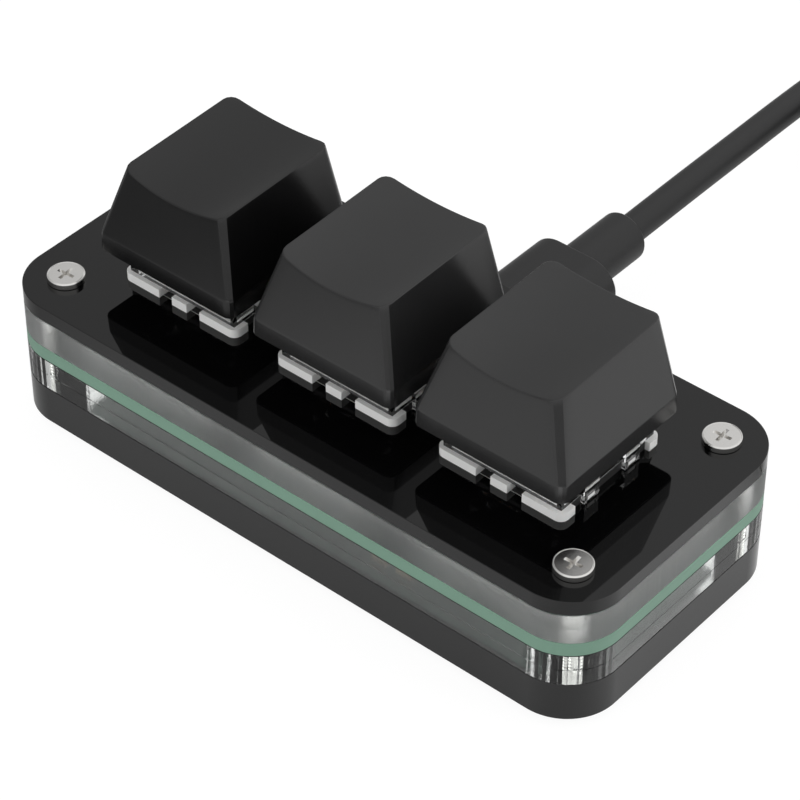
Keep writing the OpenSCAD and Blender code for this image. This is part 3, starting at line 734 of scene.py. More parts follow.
class PatternTree(PieceTree):
    """Sets copies of a mesh at the points of a centred grid, each turned a little by chance."""

    SEED = 3

    def __init__(self) -> None:
        """Builds the tree."""
        kinds = {"Geometry": "Geometry", "Spacing X": "Float", "Spacing Y": "Float", "Turn": "Float"}
        kinds |= {"Count X": "Int", "Count Y": "Int", "Seed": "Int", "Finish": "Material"}
        super().__init__("grid_pattern", kinds)
        given = self.given
        grid = self.add("GeometryNodeMeshGrid", Size_X=given["Spacing X"], Size_Y=given["Spacing Y"])
        self.fit(grid, Vertices_X=given["Count X"], Vertices_Y=given["Count Y"])
        low = self.math("MULTIPLY", given["Turn"], -1.0)
        chance = self.add("FunctionNodeRandomValue", None, None, low, given["Turn"], Seed=given["Seed"])
        turn = self.add("ShaderNodeCombineXYZ", Z=chance.outputs[1])
        copies = self.add("GeometryNodeInstanceOnPoints", Points=grid.outputs[0], Instance=given["Geometry"])
        self.close(self.fit(copies, Rotation=turn.outputs[0]).outputs[0])

    def repeat(
        self,
        name: str,
        mesh: bpy.types.Mesh,
        finish: bpy.types.Material,
        spacing: Span,
        count: tuple[int, int] = (2, 2),
        turn: float = 0.0,
        crease: float = 30.0,
    ) -> bpy.types.Object:
        """Sets copies of a mesh on the grid.

        Args:
            name: Name of the piece.
            mesh: Mesh of one copy, in metres.
            finish: Its material.
            spacing: Size of the grid along X and Y, in millimetres.
            count: Number of copies along X and Y.
            turn: Most that a copy is turned about Z, in degrees.
            crease: Angle above which an edge stays sharp.

        Returns:
            All the copies as one plain mesh.
        """
        smooth(mesh, crease)
        values = {"Spacing X": spacing[0] * MM, "Spacing Y": spacing[1] * MM, "Turn": math.radians(turn)}
        values |= {"Count X": count[0], "Count Y": count[1], "Seed": self.SEED}
        return self.run(name, mesh, finish, values)


class SpringTree(PieceTree):
    """Winds a spring whose end turns lie closed."""

    STEPS = 28
    SIDES = 10
    CLOSED_RISE = 2.2

    def __init__(self) -> None:
        """Builds the tree; an end turn rises by about the wire's own thickness."""
        kinds = dict.fromkeys(("Turns", "Radius", "Height", "Wire Radius", "Closed Share"), "Float")
        super().__init__("wound_spring", kinds | {"Steps": "Int", "Finish": "Material"})
        given, calc = self.given, self.math
        index = self.nodes.new("GeometryNodeInputIndex").outputs[0]
        share = calc("DIVIDE", index, calc("SUBTRACT", given["Steps"], 1.0))
        angle = self.product(share, given["Turns"], 2 * math.pi)
        closed = given["Closed Share"]
        rest = calc("SUBTRACT", 1.0, closed)
        end_rise = self.product(given["Wire Radius"], self.CLOSED_RISE)
        first = calc("MINIMUM", calc("DIVIDE", share, closed), 1.0)
        last = calc("MAXIMUM", calc("DIVIDE", calc("SUBTRACT", share, rest), closed), 0.0)
        between = calc("DIVIDE", calc("SUBTRACT", share, closed), calc("SUBTRACT", rest, closed))
        between = calc("MINIMUM", calc("MAXIMUM", between, 0.0), 1.0)
        open_rise = calc("SUBTRACT", given["Height"], self.product(end_rise, 2.0))
        ends = calc("ADD", self.product(first, end_rise), self.product(last, end_rise))
        spot = self.add(
            "ShaderNodeCombineXYZ",
            self.product(calc("COSINE", angle), given["Radius"]),
            self.product(calc("SINE", angle), given["Radius"]),
            calc("ADD", ends, self.product(between, open_rise)),
        )
        line = self.add("GeometryNodeMeshLine", Count=given["Steps"])
        place = self.add("GeometryNodeSetPosition", Geometry=line.outputs[0], Position=spot.outputs[0])
        curve = self.add("GeometryNodeMeshToCurve", place.outputs[0])
        profile = self.add(
            "GeometryNodeCurvePrimitiveCircle", Resolution=self.SIDES, Radius=given["Wire Radius"]
        )
        tube = self.add("GeometryNodeCurveToMesh", Curve=curve.outputs[0], Profile_Curve=profile.outputs[0])
        self.close(self.fit(tube, Fill_Caps=True).outputs[0])

    def wind(
        self, name: str, finish: bpy.types.Material, turns: float, radius: float, height: float, wire: float
    ) -> bpy.types.Object:
        """Winds one spring that stands on the origin.

        Args:
            name: Name of the piece.
            finish: Its material.
            turns: Number of turns.
            radius: Radius of the wire's centre line, in millimetres.
            height: Height of the centre line, in millimetres.
            wire: Radius of the wire, in millimetres.

        Returns:
            The spring as a plain mesh.
        """
        values = {"Radius": radius * MM, "Height": height * MM, "Wire Radius": wire * MM}
        values |= {"Turns": turns, "Closed Share": 1 / turns, "Steps": int(turns * self.STEPS)}
        return self.run(name, bpy.data.meshes.new(name + "_raw"), finish, values)


# Finishes


class MaterialTree(Tree):
    """Node tree of one material."""

    def __init__(self, name: str) -> None:
        """Makes an empty material.

        Args:
            name: Its name.
        """
        self.material = bpy.data.materials.new(name)
        self.material.use_nodes = True
        super().__init__(self.material.node_tree)
        self.nodes.clear()

    def group(self, tree: bpy.types.NodeTree, **values: float) -> bpy.types.bpy_prop_collection:
        """Places a node group.

        Args:
            tree: The group's tree.
            values: Its inputs by name, with underscores for spaces.

        Returns:
            Its outputs.
        """
        node = self.nodes.new("ShaderNodeGroup")
        node.node_tree = tree
        return self.fit(node, **values).outputs

    def blend(
        self, mask: bpy.types.NodeSocket, low: Sequence[float], high: Sequence[float]
    ) -> bpy.types.NodeSocket:
        """Mixes two colours.

        Args:
            mask: Share of the second colour.
            low, high: The colours.

        Returns:
            The mixed colour.
        """
        node = self.nodes.new("ShaderNodeMix")
        node.data_type = "RGBA"
        node.inputs[6].default_value = (*low, 1)
        node.inputs[7].default_value = (*high, 1)
        return self.fit(node, mask).outputs[2]

    def bump(self, height: bpy.types.NodeSocket, depth: float) -> bpy.types.NodeSocket:
        """Turns a height into a normal; the depth is in millimetres."""
        return self.add("ShaderNodeBump", Height=height, Strength=1.0, Distance=depth * MM).outputs["Normal"]

    def surface(self, shader: bpy.types.Node) -> bpy.types.Material:
        """Puts a shader on the output and returns the material."""
        self.add("ShaderNodeOutputMaterial", Surface=shader.outputs[0])
        return self.material


class GroupTree(Tree):
    """Shader node group that gives masks from 0 to 1 by textures on the object's own place."""

    def __init__(self, name: str, inputs: dict[str, float], outputs: Sequence[str]) -> None:
        """Starts the group.

        Args:
            name: Its name.
            inputs: Its sizes in millimetres, by name.
            outputs: Names of its masks.
        """
        super().__init__(bpy.data.node_groups.new(name, "ShaderNodeTree"))
        for label, value in inputs.items():
            self.socket(label, "Float", value)
        for label in outputs:
            self.socket(label, "Float", out=True)
        self.given = self.nodes.new("NodeGroupInput").outputs
        self.out = self.nodes.new("NodeGroupOutput")
        self.place = self.nodes.new("ShaderNodeTexCoord").outputs["Object"]

    def noise(
        self, size: str, detail: float, roughness: float, squeeze: float = 1.0
    ) -> bpy.types.NodeSocket:
        """Adds a noise texture.

        Args:
            size: Name of the input that gives the size of its spots.
            detail: Number of its finer layers.
            roughness: How much the finer layers show.
            squeeze: Factor on the height of the place; under 1, the spots are drawn out upright.

        Returns:
            The texture's value.
        """
        place = self.place
        if squeeze != 1.0:
            mapping = self.add("ShaderNodeMapping", Vector=place, Scale=(1, 1, squeeze))
            place = mapping.outputs[0]
        scale = self.math("DIVIDE", 1 / MM, self.given[size])
        node = self.add("ShaderNodeTexNoise", Vector=place, Scale=scale, Detail=detail, Roughness=roughness)
        return node.outputs["Fac"]


def surface_group() -> bpy.types.NodeTree:
    """Grain, tone and handling marks of a moulded or cut surface.

    Returns:
        The group's tree.
    """
    group = GroupTree("surface_detail", {"Grain Size": 0.2, "Mark Size": 6.0}, ("Grain", "Tone", "Marks"))
    grain, tone = group.noise("Grain Size", 2.0, 0.6), group.noise("Mark Size", 3.0, 0.55)
    marks = group.ranged(group.noise("Mark Size", 6.0, 0.7), (0.45, 0.75))
    group.fit(group.out, Grain=grain, Tone=tone, Marks=marks)
    return group.tree


def cut_edge_group() -> bpy.types.NodeTree:
    """Fine upright ripples that a cutter leaves along the edge of a sheet.

    Returns:
        The group's tree.
    """
    group = GroupTree("cut_edge", {"Ripple Size": 0.35}, ("Ripple",))
    group.fit(group.out, Ripple=group.noise("Ripple Size", 3.0, 0.5, squeeze=0.06))
    return group.tree


@dataclass(frozen=True)
class Finish:
    """Opaque finish with a fine grain, a slight change of tone and faint handling marks."""

    colour: Colour
    roughness: float
    metallic: float = 0.0
    grain: float = 0.004
    grain_size: float = 0.15
    marks: float = 0.06
    mark_size: float = 7.0
    tone: float = 0.12
    ior: float = 1.5
    soft: float = 0.0
    soft_reach: float = 0.6

    def material(self, name: str, box: Paintbox) -> bpy.types.Material:
        """Builds the material from the shared surface group.

        Args:
            name: Name of the material.
            box: The paintbox, which holds the groups.

        Returns:
            The material.
        """
        tree = MaterialTree(name)
        fine = tree.group(box.detail, Grain_Size=self.grain_size, Mark_Size=self.mark_size)
        low = [c * (1 - self.tone) for c in self.colour]
        high = [min(1.0, c * (1 + self.tone)) for c in self.colour]
        rough = tree.ranged(fine["Marks"], wanted=(self.roughness, self.roughness + self.marks))
        shader = tree.add(
            "ShaderNodeBsdfPrincipled",
            Base_Color=tree.blend(fine["Tone"], low, high),
            Roughness=rough,
            Metallic=self.metallic,
            IOR=self.ior,
            Normal=tree.bump(fine["Grain"], self.grain),
        )
        if self.soft:
            tree.fit(
                shader,
                Subsurface_Weight=self.soft,
                Subsurface_Radius=(1.0, 0.9, 0.8),
                Subsurface_Scale=self.soft_reach * MM,
            )
        return tree.surface(shader)


@dataclass(frozen=True)
class ClearFinish:
    """Clear plastic that light passes through, with faint ripples on its cut edges."""

    tint: Colour
    roughness: float
    ior: float = 1.49
    ripple: float = 0.004
    ripple_size: float = 0.5
    haze: float = 0.02

    def material(self, name: str, box: Paintbox) -> bpy.types.Material:
        """Builds the material; light that only casts shadows passes straight through.

        Args:
            name: Name of the material.
            box: The paintbox, which holds the groups.

        Returns:
            The material.
        """
        tree = MaterialTree(name)
        fine = tree.group(box.detail, Grain_Size=0.3, Mark_Size=9.0)
        edge = tree.group(box.ripples, Ripple_Size=self.ripple_size)
        glass = tree.add(
            "ShaderNodeBsdfPrincipled",
            Base_Color=(*self.tint, 1),
            Roughness=tree.ranged(fine["Marks"], wanted=(self.roughness, self.roughness + self.haze)),
            IOR=self.ior,
            Transmission_Weight=1.0,
            Normal=tree.bump(edge["Ripple"], self.ripple),
        )
        through = tree.add("ShaderNodeBsdfTransparent", (*(0.5 + 0.5 * c for c in self.tint), 1))
        ray = tree.nodes.new("ShaderNodeLightPath").outputs
        return tree.surface(tree.mixed(ray["Is Shadow Ray"], glass, through))


@dataclass(frozen=True)
class BoardFinish:
    """Solder mask over copper tracks, for the two faces of the circuit board."""

    mask: Colour = (0.026, 0.10, 0.066)
    track: Colour = (0.045, 0.16, 0.105)
    gloss: Span = (0.22, 0.34)
    track_scale: float = 420.0
    track_gap: float = 0.06
    track_long: float = 1.7
    track_wide: float = 0.6

    def material(self, name: str, box: Paintbox) -> bpy.types.Material:
        """Builds the material: upright and level tracks show as a lighter green.

        Args:
            name: Name of the material.
            box: The paintbox, which holds the groups.

        Returns:
            The material.
        """
        tree = MaterialTree(name)
        place = tree.nodes.new("ShaderNodeTexCoord").outputs["Object"]
        tracks = tree.add("ShaderNodeTexBrick", Vector=place, Scale=self.track_scale, Mortar_Smooth=0.1)
        tree.fit(tracks, Mortar_Size=self.track_gap, Brick_Width=self.track_long, Row_Height=self.track_wide)
        fine = tree.group(box.detail, Grain_Size=0.08, Mark_Size=5.0)
        shown = tree.product(tracks.outputs["Fac"], fine["Marks"])
        shader = tree.add(
            "ShaderNodeBsdfPrincipled",
            Base_Color=tree.blend(shown, self.mask, self.track),
            Roughness=tree.ranged(fine["Tone"], wanted=self.gloss),
            Normal=tree.bump(shown, 0.02),
        )
        return tree.surface(shader)


class Paint(Enum):
    """Names of the finishes."""

    GLOSS_SHEET = "gloss_sheet"
    BASE_SHEET = "base_sheet"
    CLEAR_UPPER = "clear_upper"
    CLEAR_LOWER = "clear_lower"
    # Painted shade: dark line where the clear spacer meets the sheets above and below.
    SEAM = "seam_shade_line"
    BOARD_MASK = "solder_mask"
    BOARD_EDGE = "board_edge"
    CAP = "cap_plastic"
    # Painted shade: a darker copy of the cap plastic, for the key that lies in less light.
    SHADED_CAP = "shaded_cap"
    HOUSING = "milky_nylon"
    # Painted shade on the housing's slots and sides.
    SLOT_SHADE = "slot_shade"
    COVER = "clear_cover"
    STEM = "stem_plastic"
    NICKEL = "nickel"
    TIN = "tin_shell"
    BRASS = "contact_brass"
    GOLD = "gold_strip"
    SPRING = "spring_steel"
    SOLDER = "solder"
    CHIP = "chip_resin"
    CERAMIC = "capacitor_ceramic"
    RESISTOR = "resistor_body"
    RUBBER = "foot_rubber"
    JACKET = "cable_jacket"
    MOULDED = "moulded_plug"
    STRAP = "woven_strap"
    INSERT = "white_insert"


FINISHES: dict[Paint, Finish | ClearFinish | BoardFinish] = {
    Paint.GLOSS_SHEET: Finish((0.0015, 0.0015, 0.0016), 0.015, grain=0.0, marks=0.05, tone=0.2, ior=1.46),
    Paint.BASE_SHEET: Finish((0.006, 0.006, 0.0062), 0.12, grain=0.001, marks=0.08, tone=0.2),
    Paint.CLEAR_UPPER: ClearFinish((0.97, 0.98, 0.973), 0.40, ripple=0.22, ripple_size=3.0, haze=0.04),
    Paint.CLEAR_LOWER: ClearFinish((0.945, 0.962, 0.95), 0.0, ripple=0.008, ripple_size=0.22, haze=0.01),
    # Painted shade: dark line where the clear spacer meets the sheets above and below.
    Paint.SEAM: Finish((0.004, 0.004, 0.004), 0.5, grain=0.002),
    Paint.BOARD_MASK: BoardFinish(),
    Paint.BOARD_EDGE: Finish((0.155, 0.28, 0.208), 0.45, grain=0.006, grain_size=0.08, tone=0.10),
    Paint.CAP: Finish((0.016, 0.016, 0.0162), 0.20, grain=0.003, grain_size=0.11, marks=0.05),
    # Painted shade: the cap plastic made darker for the first key, which lies in less light.
    Paint.SHADED_CAP: Finish((0.003, 0.003, 0.0031), 0.20, grain=0.003, grain_size=0.11, marks=0.05),
    Paint.HOUSING: Finish((0.97, 0.97, 0.955), 0.36, soft=0.1, grain=0.002, tone=0.03),
    # Painted shade: near-black finish for the housing faces that lie in the dark.
    Paint.SLOT_SHADE: Finish((0.02, 0.02, 0.02), 0.5, grain=0.002),
    Paint.COVER: ClearFinish((0.97, 0.975, 0.975), 0.0, ior=1.58, ripple=0.001, haze=0.01),
    Paint.STEM: Finish((0.012, 0.012, 0.013), 0.35, grain=0.002),
    Paint.NICKEL: Finish((0.76, 0.75, 0.73), 0.2, metallic=1.0, grain=0.001, tone=0.06, marks=0.05),
    Paint.TIN: Finish((0.62, 0.62, 0.61), 0.24, metallic=1.0, grain=0.002, tone=0.06),
    Paint.BRASS: Finish((0.78, 0.50, 0.20), 0.25, metallic=1.0, grain=0.001),
    Paint.GOLD: Finish((0.90, 0.62, 0.24), 0.2, metallic=1.0, grain=0.001),
    Paint.SPRING: Finish((0.55, 0.55, 0.56), 0.18, metallic=1.0, grain=0.001),
    Paint.SOLDER: Finish((0.60, 0.60, 0.62), 0.3, metallic=1.0, grain=0.01, grain_size=0.3),
    Paint.CHIP: Finish((0.018, 0.018, 0.019), 0.5, grain=0.006, grain_size=0.05),
    Paint.CERAMIC: Finish((0.36, 0.24, 0.13), 0.42, grain=0.003),
    Paint.RESISTOR: Finish((0.012, 0.012, 0.014), 0.35, grain=0.002),
    Paint.RUBBER: Finish((0.012, 0.012, 0.012), 0.75, grain=0.02, grain_size=0.12, tone=0.25),
    Paint.JACKET: Finish((0.006, 0.006, 0.0063), 0.42, grain=0.006, grain_size=0.12),
    Paint.MOULDED: Finish((0.006, 0.006, 0.0063), 0.40, grain=0.005, grain_size=0.10),
    Paint.STRAP: Finish((0.02, 0.02, 0.021), 0.85, grain=0.08, grain_size=0.35, tone=0.35),
    Paint.INSERT: Finish((0.78, 0.78, 0.76), 0.35, grain=0.002, tone=0.03),
}


class Paintbox:
    """All the materials, each made once."""

    def __init__(self) -> None:
        """Builds the shared groups."""
        self.detail = surface_group()
        self.ripples = cut_edge_group()
        self.made: dict[Paint, bpy.types.Material] = {}

    def get(self, paint: Paint) -> bpy.types.Material:
        """Finds a material, and makes it the first time.

        Args:
            paint: Its name.

        Returns:
            The material.
        """
        if paint not in self.made:
            self.made[paint] = FINISHES[paint].material(paint.value, self)
        return self.made[paint]


# Sub-assemblies


@dataclass
class SubAssembly:
    """Part of the keypad that rides on one body of the frame."""

    paints: Paintbox
    pattern: PatternTree
    body: str = "case"

    def paint(self, *names: Paint) -> list[bpy.types.Material]:
        """Materials by their names."""
        return [self.paints.get(n) for n in names]

    def seat(
        self, piece: bpy.types.Object, slot: str, *nodes: str, body: str | None = None
    ) -> bpy.types.Object:
        """Makes a finished piece ride on a body and stand for its solids.

        Args:
            piece: The finished piece.
            slot: Material slot of the record; not used.
            nodes: Names of the solids that it stands for.
            body: Body that it rides on, if not the sub-assembly's own.

        Returns:
            The piece.
        """
        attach(piece, body or self.body)
        if nodes:
            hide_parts(*nodes)
        LOG.info("%s: %d faces", piece.name, len(piece.data.polygons))
        return piece

    def dress(
        self, name: str, shape: Shape, slot: str, *nodes: str, finish: Sequence[Paint], crease: float = 25.0
    ) -> bpy.types.Object:
        """Finishes a shape and seats it.

        Args:
            name: Name of the piece.
            shape: Its shape.
            slot: Material slot of the record.
            nodes: Names of the solids that it stands for.
            finish: Its finishes.
            crease: Angle above which an edge stays sharp.

        Returns:
            The piece.
        """
        mesh = shape.mesh(name + "_skin")
        piece = make_piece(name, mesh, self.paint(*finish), crease)
        return self.seat(piece, slot, *nodes)

    def refined(
        self, node: str, slot: str, paint: Paint, bevel: float, shrink: float = 0.0, body: str | None = None
    ) -> bpy.types.Object:
        """Finished copy of a solid, with its edges rounded.

        Args:
            node: Name of the solid.
            slot: Material slot of the record.
            paint: Its finish.
            bevel: Width of the rounding, in millimetres.
            shrink: How far its faces move inwards, in millimetres.
            body: Body that it rides on, if not the sub-assembly's own.

        Returns:
            The piece.
        """
        mesh = merged_copy(node, shrink)
        piece = make_piece(node + "_shown", mesh, self.paint(paint), bevel=bevel)
        return self.seat(piece, slot, node, body=body)


@dataclass
class CableSet(SubAssembly):
    """Cable with its plug in the case, its coil and strap, and the plug at its far end."""

    diameter: float = 3.4
    cable_sides: int = 16
    run: tuple[tuple[float, float, float], ...] = (
        (0, 39.2, 8.1), (0, 50, 8.2), (0, 60, 8.2), (0, 68, 8.2), (0, 75, 8), (0, 81, 7.2),
        (0, 87, 5.7), (0, 93, 4.1), (0, 98, 2.9), (0, 102, 2.3), (0, 105, 2.2),
    )
    tail: tuple[tuple[float, float, float], ...] = (
        (46, 105, 13.75), (46, 101, 13.6), (46, 96, 12.6), (46, 90, 10.6), (46, 84, 8.3),
        (46, 78, 6.2), (46, 73, 4.8), (46, 69, 4.1), (46, 65, 4),
    )
    span_steps: int = 4
    coil_x: float = 23
    coil_y: float = 108.4
    coil_out: float = 23
    coil_step: float = 3.85
    coil_layers: int = 4
    coil_turns: float = 9.5
    coil_base: float = 2.2
    coil_climb: float = 0.25
    coil_steps: int = 36
    round_sides: int = 40
    plug_wide: float = 10.9
    plug_high: float = 6.4
    plug_from: float = 17.0
    plug_to: float = 30.8
    plug_edges: Span = (0.6, -0.35)
    sleeve_radius: float = 2.85
    sleeve_to: float = 39.2
    sleeve_edge: float = 0.3
    sleeve_lap: float = 0.25
    strap_thick: float = 0.5
    strap_corner: float = 1.8
    strap_rim: float = 0.06
    strap_tuck: float = 0.03
    lap_off: Span = (3.5, 2.2)
    lap_gap: float = 0.02
    lap_ends: Span = (0.3, 0.15)
    lap_corner: float = 0.22
    lap_round: float = 0.14
    far_x: float = 46
    far_z: float = 4
    far_from: float = 37.0
    far_to: float = 57.0
    far_edge: float = 0.9
    far_half: Span = (7.8, 4.0)
    far_corner: float = 2.2
    rib_count: int = 6
    rib_from: float = 64.0
    rib_pitch: float = 1.25
    rib_radius: float = 2.22
    rib_growth: float = 0.1
    rib_deep: float = 0.28
    far_tip: tuple[Point, ...] = ((1.6, 65.0), (2.2, 65.0), (2.22, 64.8))
    far_root: tuple[Point, ...] = ((2.8, 57.3), (2.8, 56.8), (2.0, 56.8))
    contact_half: Span = (0.5, 3.7)
    contact_y: float = 4.7
    contact_span: float = 6.6

    def build(self) -> None:
        """Builds the cable first, then what sits on it."""
        path = self.path()
        cable = self.cable(path)
        near = [self.plug_body(), self.plug_sleeve()]
        near.append(self.refined("plug_shell", "socket_steel", Paint.TIN, 0.05))
        far = [self.strap(), *self.far_plug()]

    def path(self) -> list[Vector]:
        """Centre line of the whole cable: free run, coil and tail.

        Returns:
            Its points.
        """
        count = int(self.coil_turns * self.coil_steps)
        coil = [self.coil_point(k / self.coil_steps) for k in range(count + 1)]
        return [*self.curve(self.run), *coil[1:-1], *self.curve(self.tail)]

    def curve(self, points: Sequence[Sequence[float]]) -> list[Vector]:
        """Smooth curve through points, each span cut into equal steps.

        Args:
            points: The points.

        Returns:
            The points of the curve.
        """
        given = [Vector(p) for p in points]
        last = len(given) - 1
        made: list[Vector] = []
        for k in range(last):
            a, b, c, d = given[max(k - 1, 0)], given[k], given[k + 1], given[min(k + 2, last)]
            for step in range(self.span_steps):
                t = step / self.span_steps
                straight, bend = (c - a) * t, (2 * a - 5 * b + 4 * c - d) * t**2
                made.append(0.5 * (2 * b + straight + bend + (3 * b - a - 3 * c + d) * t**3))
        return [*made, given[-1]]

    def coil_point(self, turns: float) -> Vector:
        """Point of the coil's line; its layers run inwards and outwards by turns.

        Args:
            turns: Number of turns from its start.

        Returns:
            The point.
        """
        per_layer = self.coil_turns / self.coil_layers
        laid = turns / per_layer
        layer = math.floor(laid)
        inwards = laid - layer if layer % 2 == 0 else 1 - laid + layer
        radius = self.coil_out - self.coil_step * per_layer * inwards
        rise = 0.0
        for k in range(1, self.coil_layers):
            share = min(max((turns - k * per_layer) / 2 / self.coil_climb + 0.5, 0), 1)
            rise += share * share * (3 - 2 * share)
        angle = math.radians(180 - 360 * turns)
        x, y = self.coil_x + radius * math.cos(angle), self.coil_y + radius * math.sin(angle)
        return Vector((x, y, self.coil_base + self.coil_step * rise))

    def cable(self, path: Sequence[Vector]) -> bpy.types.Object:
        """Round cable along its whole line.

        Args:
            path: Points of its centre line.

        Returns:
            The piece.
        """
        shape, nodes = Shape(), ("cable_run", "cable_coil", "cable_tail")
        sweep(shape, path, self.diameter / 2, self.cable_sides)
        return self.dress("cable", shape, "cable_black", *nodes, finish=[Paint.JACKET], crease=50)

    def block(self, x: float, z: float, ends: Sequence[Span], half: Span, corner: float) -> Shape:
        """Block along Y with a rounded section and rounded ends.

        Args:
            x, z: Place of its middle line.
            ends: Place and edge radius of each end; the radius is negative at the far one.
            half: Half its width and half its height.
            corner: Radius of its section's corners.

        Returns:
            The block's shape.
        """
        rings = []
        for place, edge in ends:
            for k in range(7) if edge > 0 else range(6, -1, -1):
                angle = math.radians(15 * k)
                drawn = abs(edge) * (1 - math.sin(angle))
                y = place + edge * (1 - math.cos(angle))
                wide, high = half[0] - drawn, half[1] - drawn
                section = outline(-wide, wide, -high, high, corner - drawn)
                rings.append([(x + sx, y, z + sz) for sx, sz in section])
        shape = Shape()
        shape.loft(rings)
        return shape

    def turned(self, profile: Sequence[Point], x: float, z: float) -> Shape:
        """Piece turned about an axis along Y.

        Args:
            profile: Radius and place on the axis of its rings.
            x, z: Place of the axis.

        Returns:
            The piece's shape.
        """
        shape, angles = Shape(), even_angles(self.round_sides)
        shape.loft([[(px, y, pz) for px, pz in circle(radius, angles, x, z)] for radius, y in profile])
        return shape

    def plug_body(self) -> bpy.types.Object:
        """Moulded body of the plug: a stadium section with rounded ends.

        Returns:
            The piece.
        """
        half = (self.plug_wide / 2, self.plug_high / 2)
        ends = tuple(zip((self.plug_from, self.plug_to), self.plug_edges))
        shape = self.block(0, STACK.plug_axis, ends, half, half[1] - 0.01)
        finish = [Paint.MOULDED]
        return self.dress("plug_body_shown", shape, "cable_black", "plug_body", finish=finish, crease=35)

    def plug_sleeve(self) -> bpy.types.Object:
        """Sleeve where the cable leaves the plug, rounded at its free end.

        Returns:
            The piece.
        """
        edge, start = self.sleeve_edge, self.plug_to - self.sleeve_lap
        profile = [(self.sleeve_radius - edge, start), (self.sleeve_radius, start)]
        for out, along in quarter_round(edge, 7):
            profile.append((self.sleeve_radius - edge + out, self.sleeve_to - edge + along))
        profile.append((self.diameter / 2 - 0.1, self.sleeve_to))
        shape, finish = self.turned(profile, 0, STACK.plug_axis), [Paint.MOULDED]
        return self.dress("plug_sleeve_shown", shape, "cable_black", "plug_sleeve", finish=finish, crease=35)

    def strap(self) -> bpy.types.Object:
        """Woven strap round the coil, with its end lapped over the outside.

        Returns:
            The piece.
        """
        (x0, y0, z0), (x1, y1, z1) = ([v / MM for v in corner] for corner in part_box("cable_tie"))
        thick, rim, tuck = self.strap_thick, self.strap_rim, self.strap_tuck
        loop = outline(y0, y1, z0, z1, self.strap_corner, 8)
        section = ((thick, tuck), (rim, 0.0), (0.0, tuck), (0.0, 1 - tuck), (rim, 1.0), (thick, 1 - tuck))
        shape, wide = Shape(), x1 - x0
        shape.hoop([[(x0 + wide * share, y, z) for y, z in inset(loop, deep)] for deep, share in section])
        low, high = self.lap_off
        lap = outline(y1 + self.lap_gap, y1 + thick, z0 + low, z1 - high, self.lap_corner, 4)
        (tip, side), off = self.lap_ends, self.lap_round
        ends = ((x0 + tip, off), (x0 + side, 0.0), (x1 - side, 0.0), (x1 - tip, off))
        shape.loft([[(x, y, z) for y, z in inset(lap, drawn)] for x, drawn in ends])
        return self.dress("strap", shape, "tie_fabric", "cable_tie", finish=[Paint.STRAP], crease=35)

    def far_plug(self) -> list[bpy.types.Object]:
        """Plug at the far end.

        Returns:
            Its sleeve, moulded body, metal shell, insert and contacts.
        """
        ends = ((self.far_from, self.far_edge), (self.far_to, -self.far_edge))
        body = self.block(self.far_x, self.far_z, ends, self.far_half, self.far_corner)
        finish = [Paint.MOULDED]
        return [
            self.far_sleeve(),
            self.dress("far_body_shown", body, "cable_black", "far_body", finish=finish, crease=35),
            self.refined("far_shell", "socket_steel", Paint.TIN, 0.12),
            self.refined("far_insert", "insert_white", Paint.INSERT, 0.1),
            self.far_contacts(),
        ]

    def far_sleeve(self) -> bpy.types.Object:
        """Sleeve of the far plug, with a groove between its ribs.

        Returns:
            The piece.
        """
        profile = [*self.far_tip]
        for k in range(self.rib_count):
            y = self.rib_from - self.rib_pitch * k
            wide = self.rib_radius + self.rib_growth * k
            thin = wide - self.rib_deep
            profile += [(wide, y), (thin, y - 0.12), (thin, y - 0.5), (wide + 0.03, y - 0.62)]
        shape, finish = self.turned([*profile, *self.far_root], self.far_x, self.far_z), [Paint.MOULDED]
        return self.dress("far_sleeve_shown", shape, "cable_black", "far_sleeve", finish=finish, crease=40)

    def far_contacts(self) -> bpy.types.Object:
        """Four gilt strips on the far plug's insert.

        Returns:
            The piece.
        """
        low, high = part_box("far_insert")
        wide, long = self.contact_half
        flat, strip = outline(-wide, wide, -long, long, 0.3, 4), Shape()
        strip.loft([level(flat, -0.02), level(flat, 0.03), level(inset(flat, 0.05), 0.06)])
        gold, mesh = self.paint(Paint.GOLD)[0], strip.mesh("far_contact")
        contacts = self.pattern.repeat("far_contacts", mesh, gold, (self.contact_span, 0.0), count=(4, 1))
        contacts.data.transform(Matrix.Translation((self.far_x * MM, low.y + self.contact_y * MM, high.z)))
        return self.seat(contacts, "contact_brass")


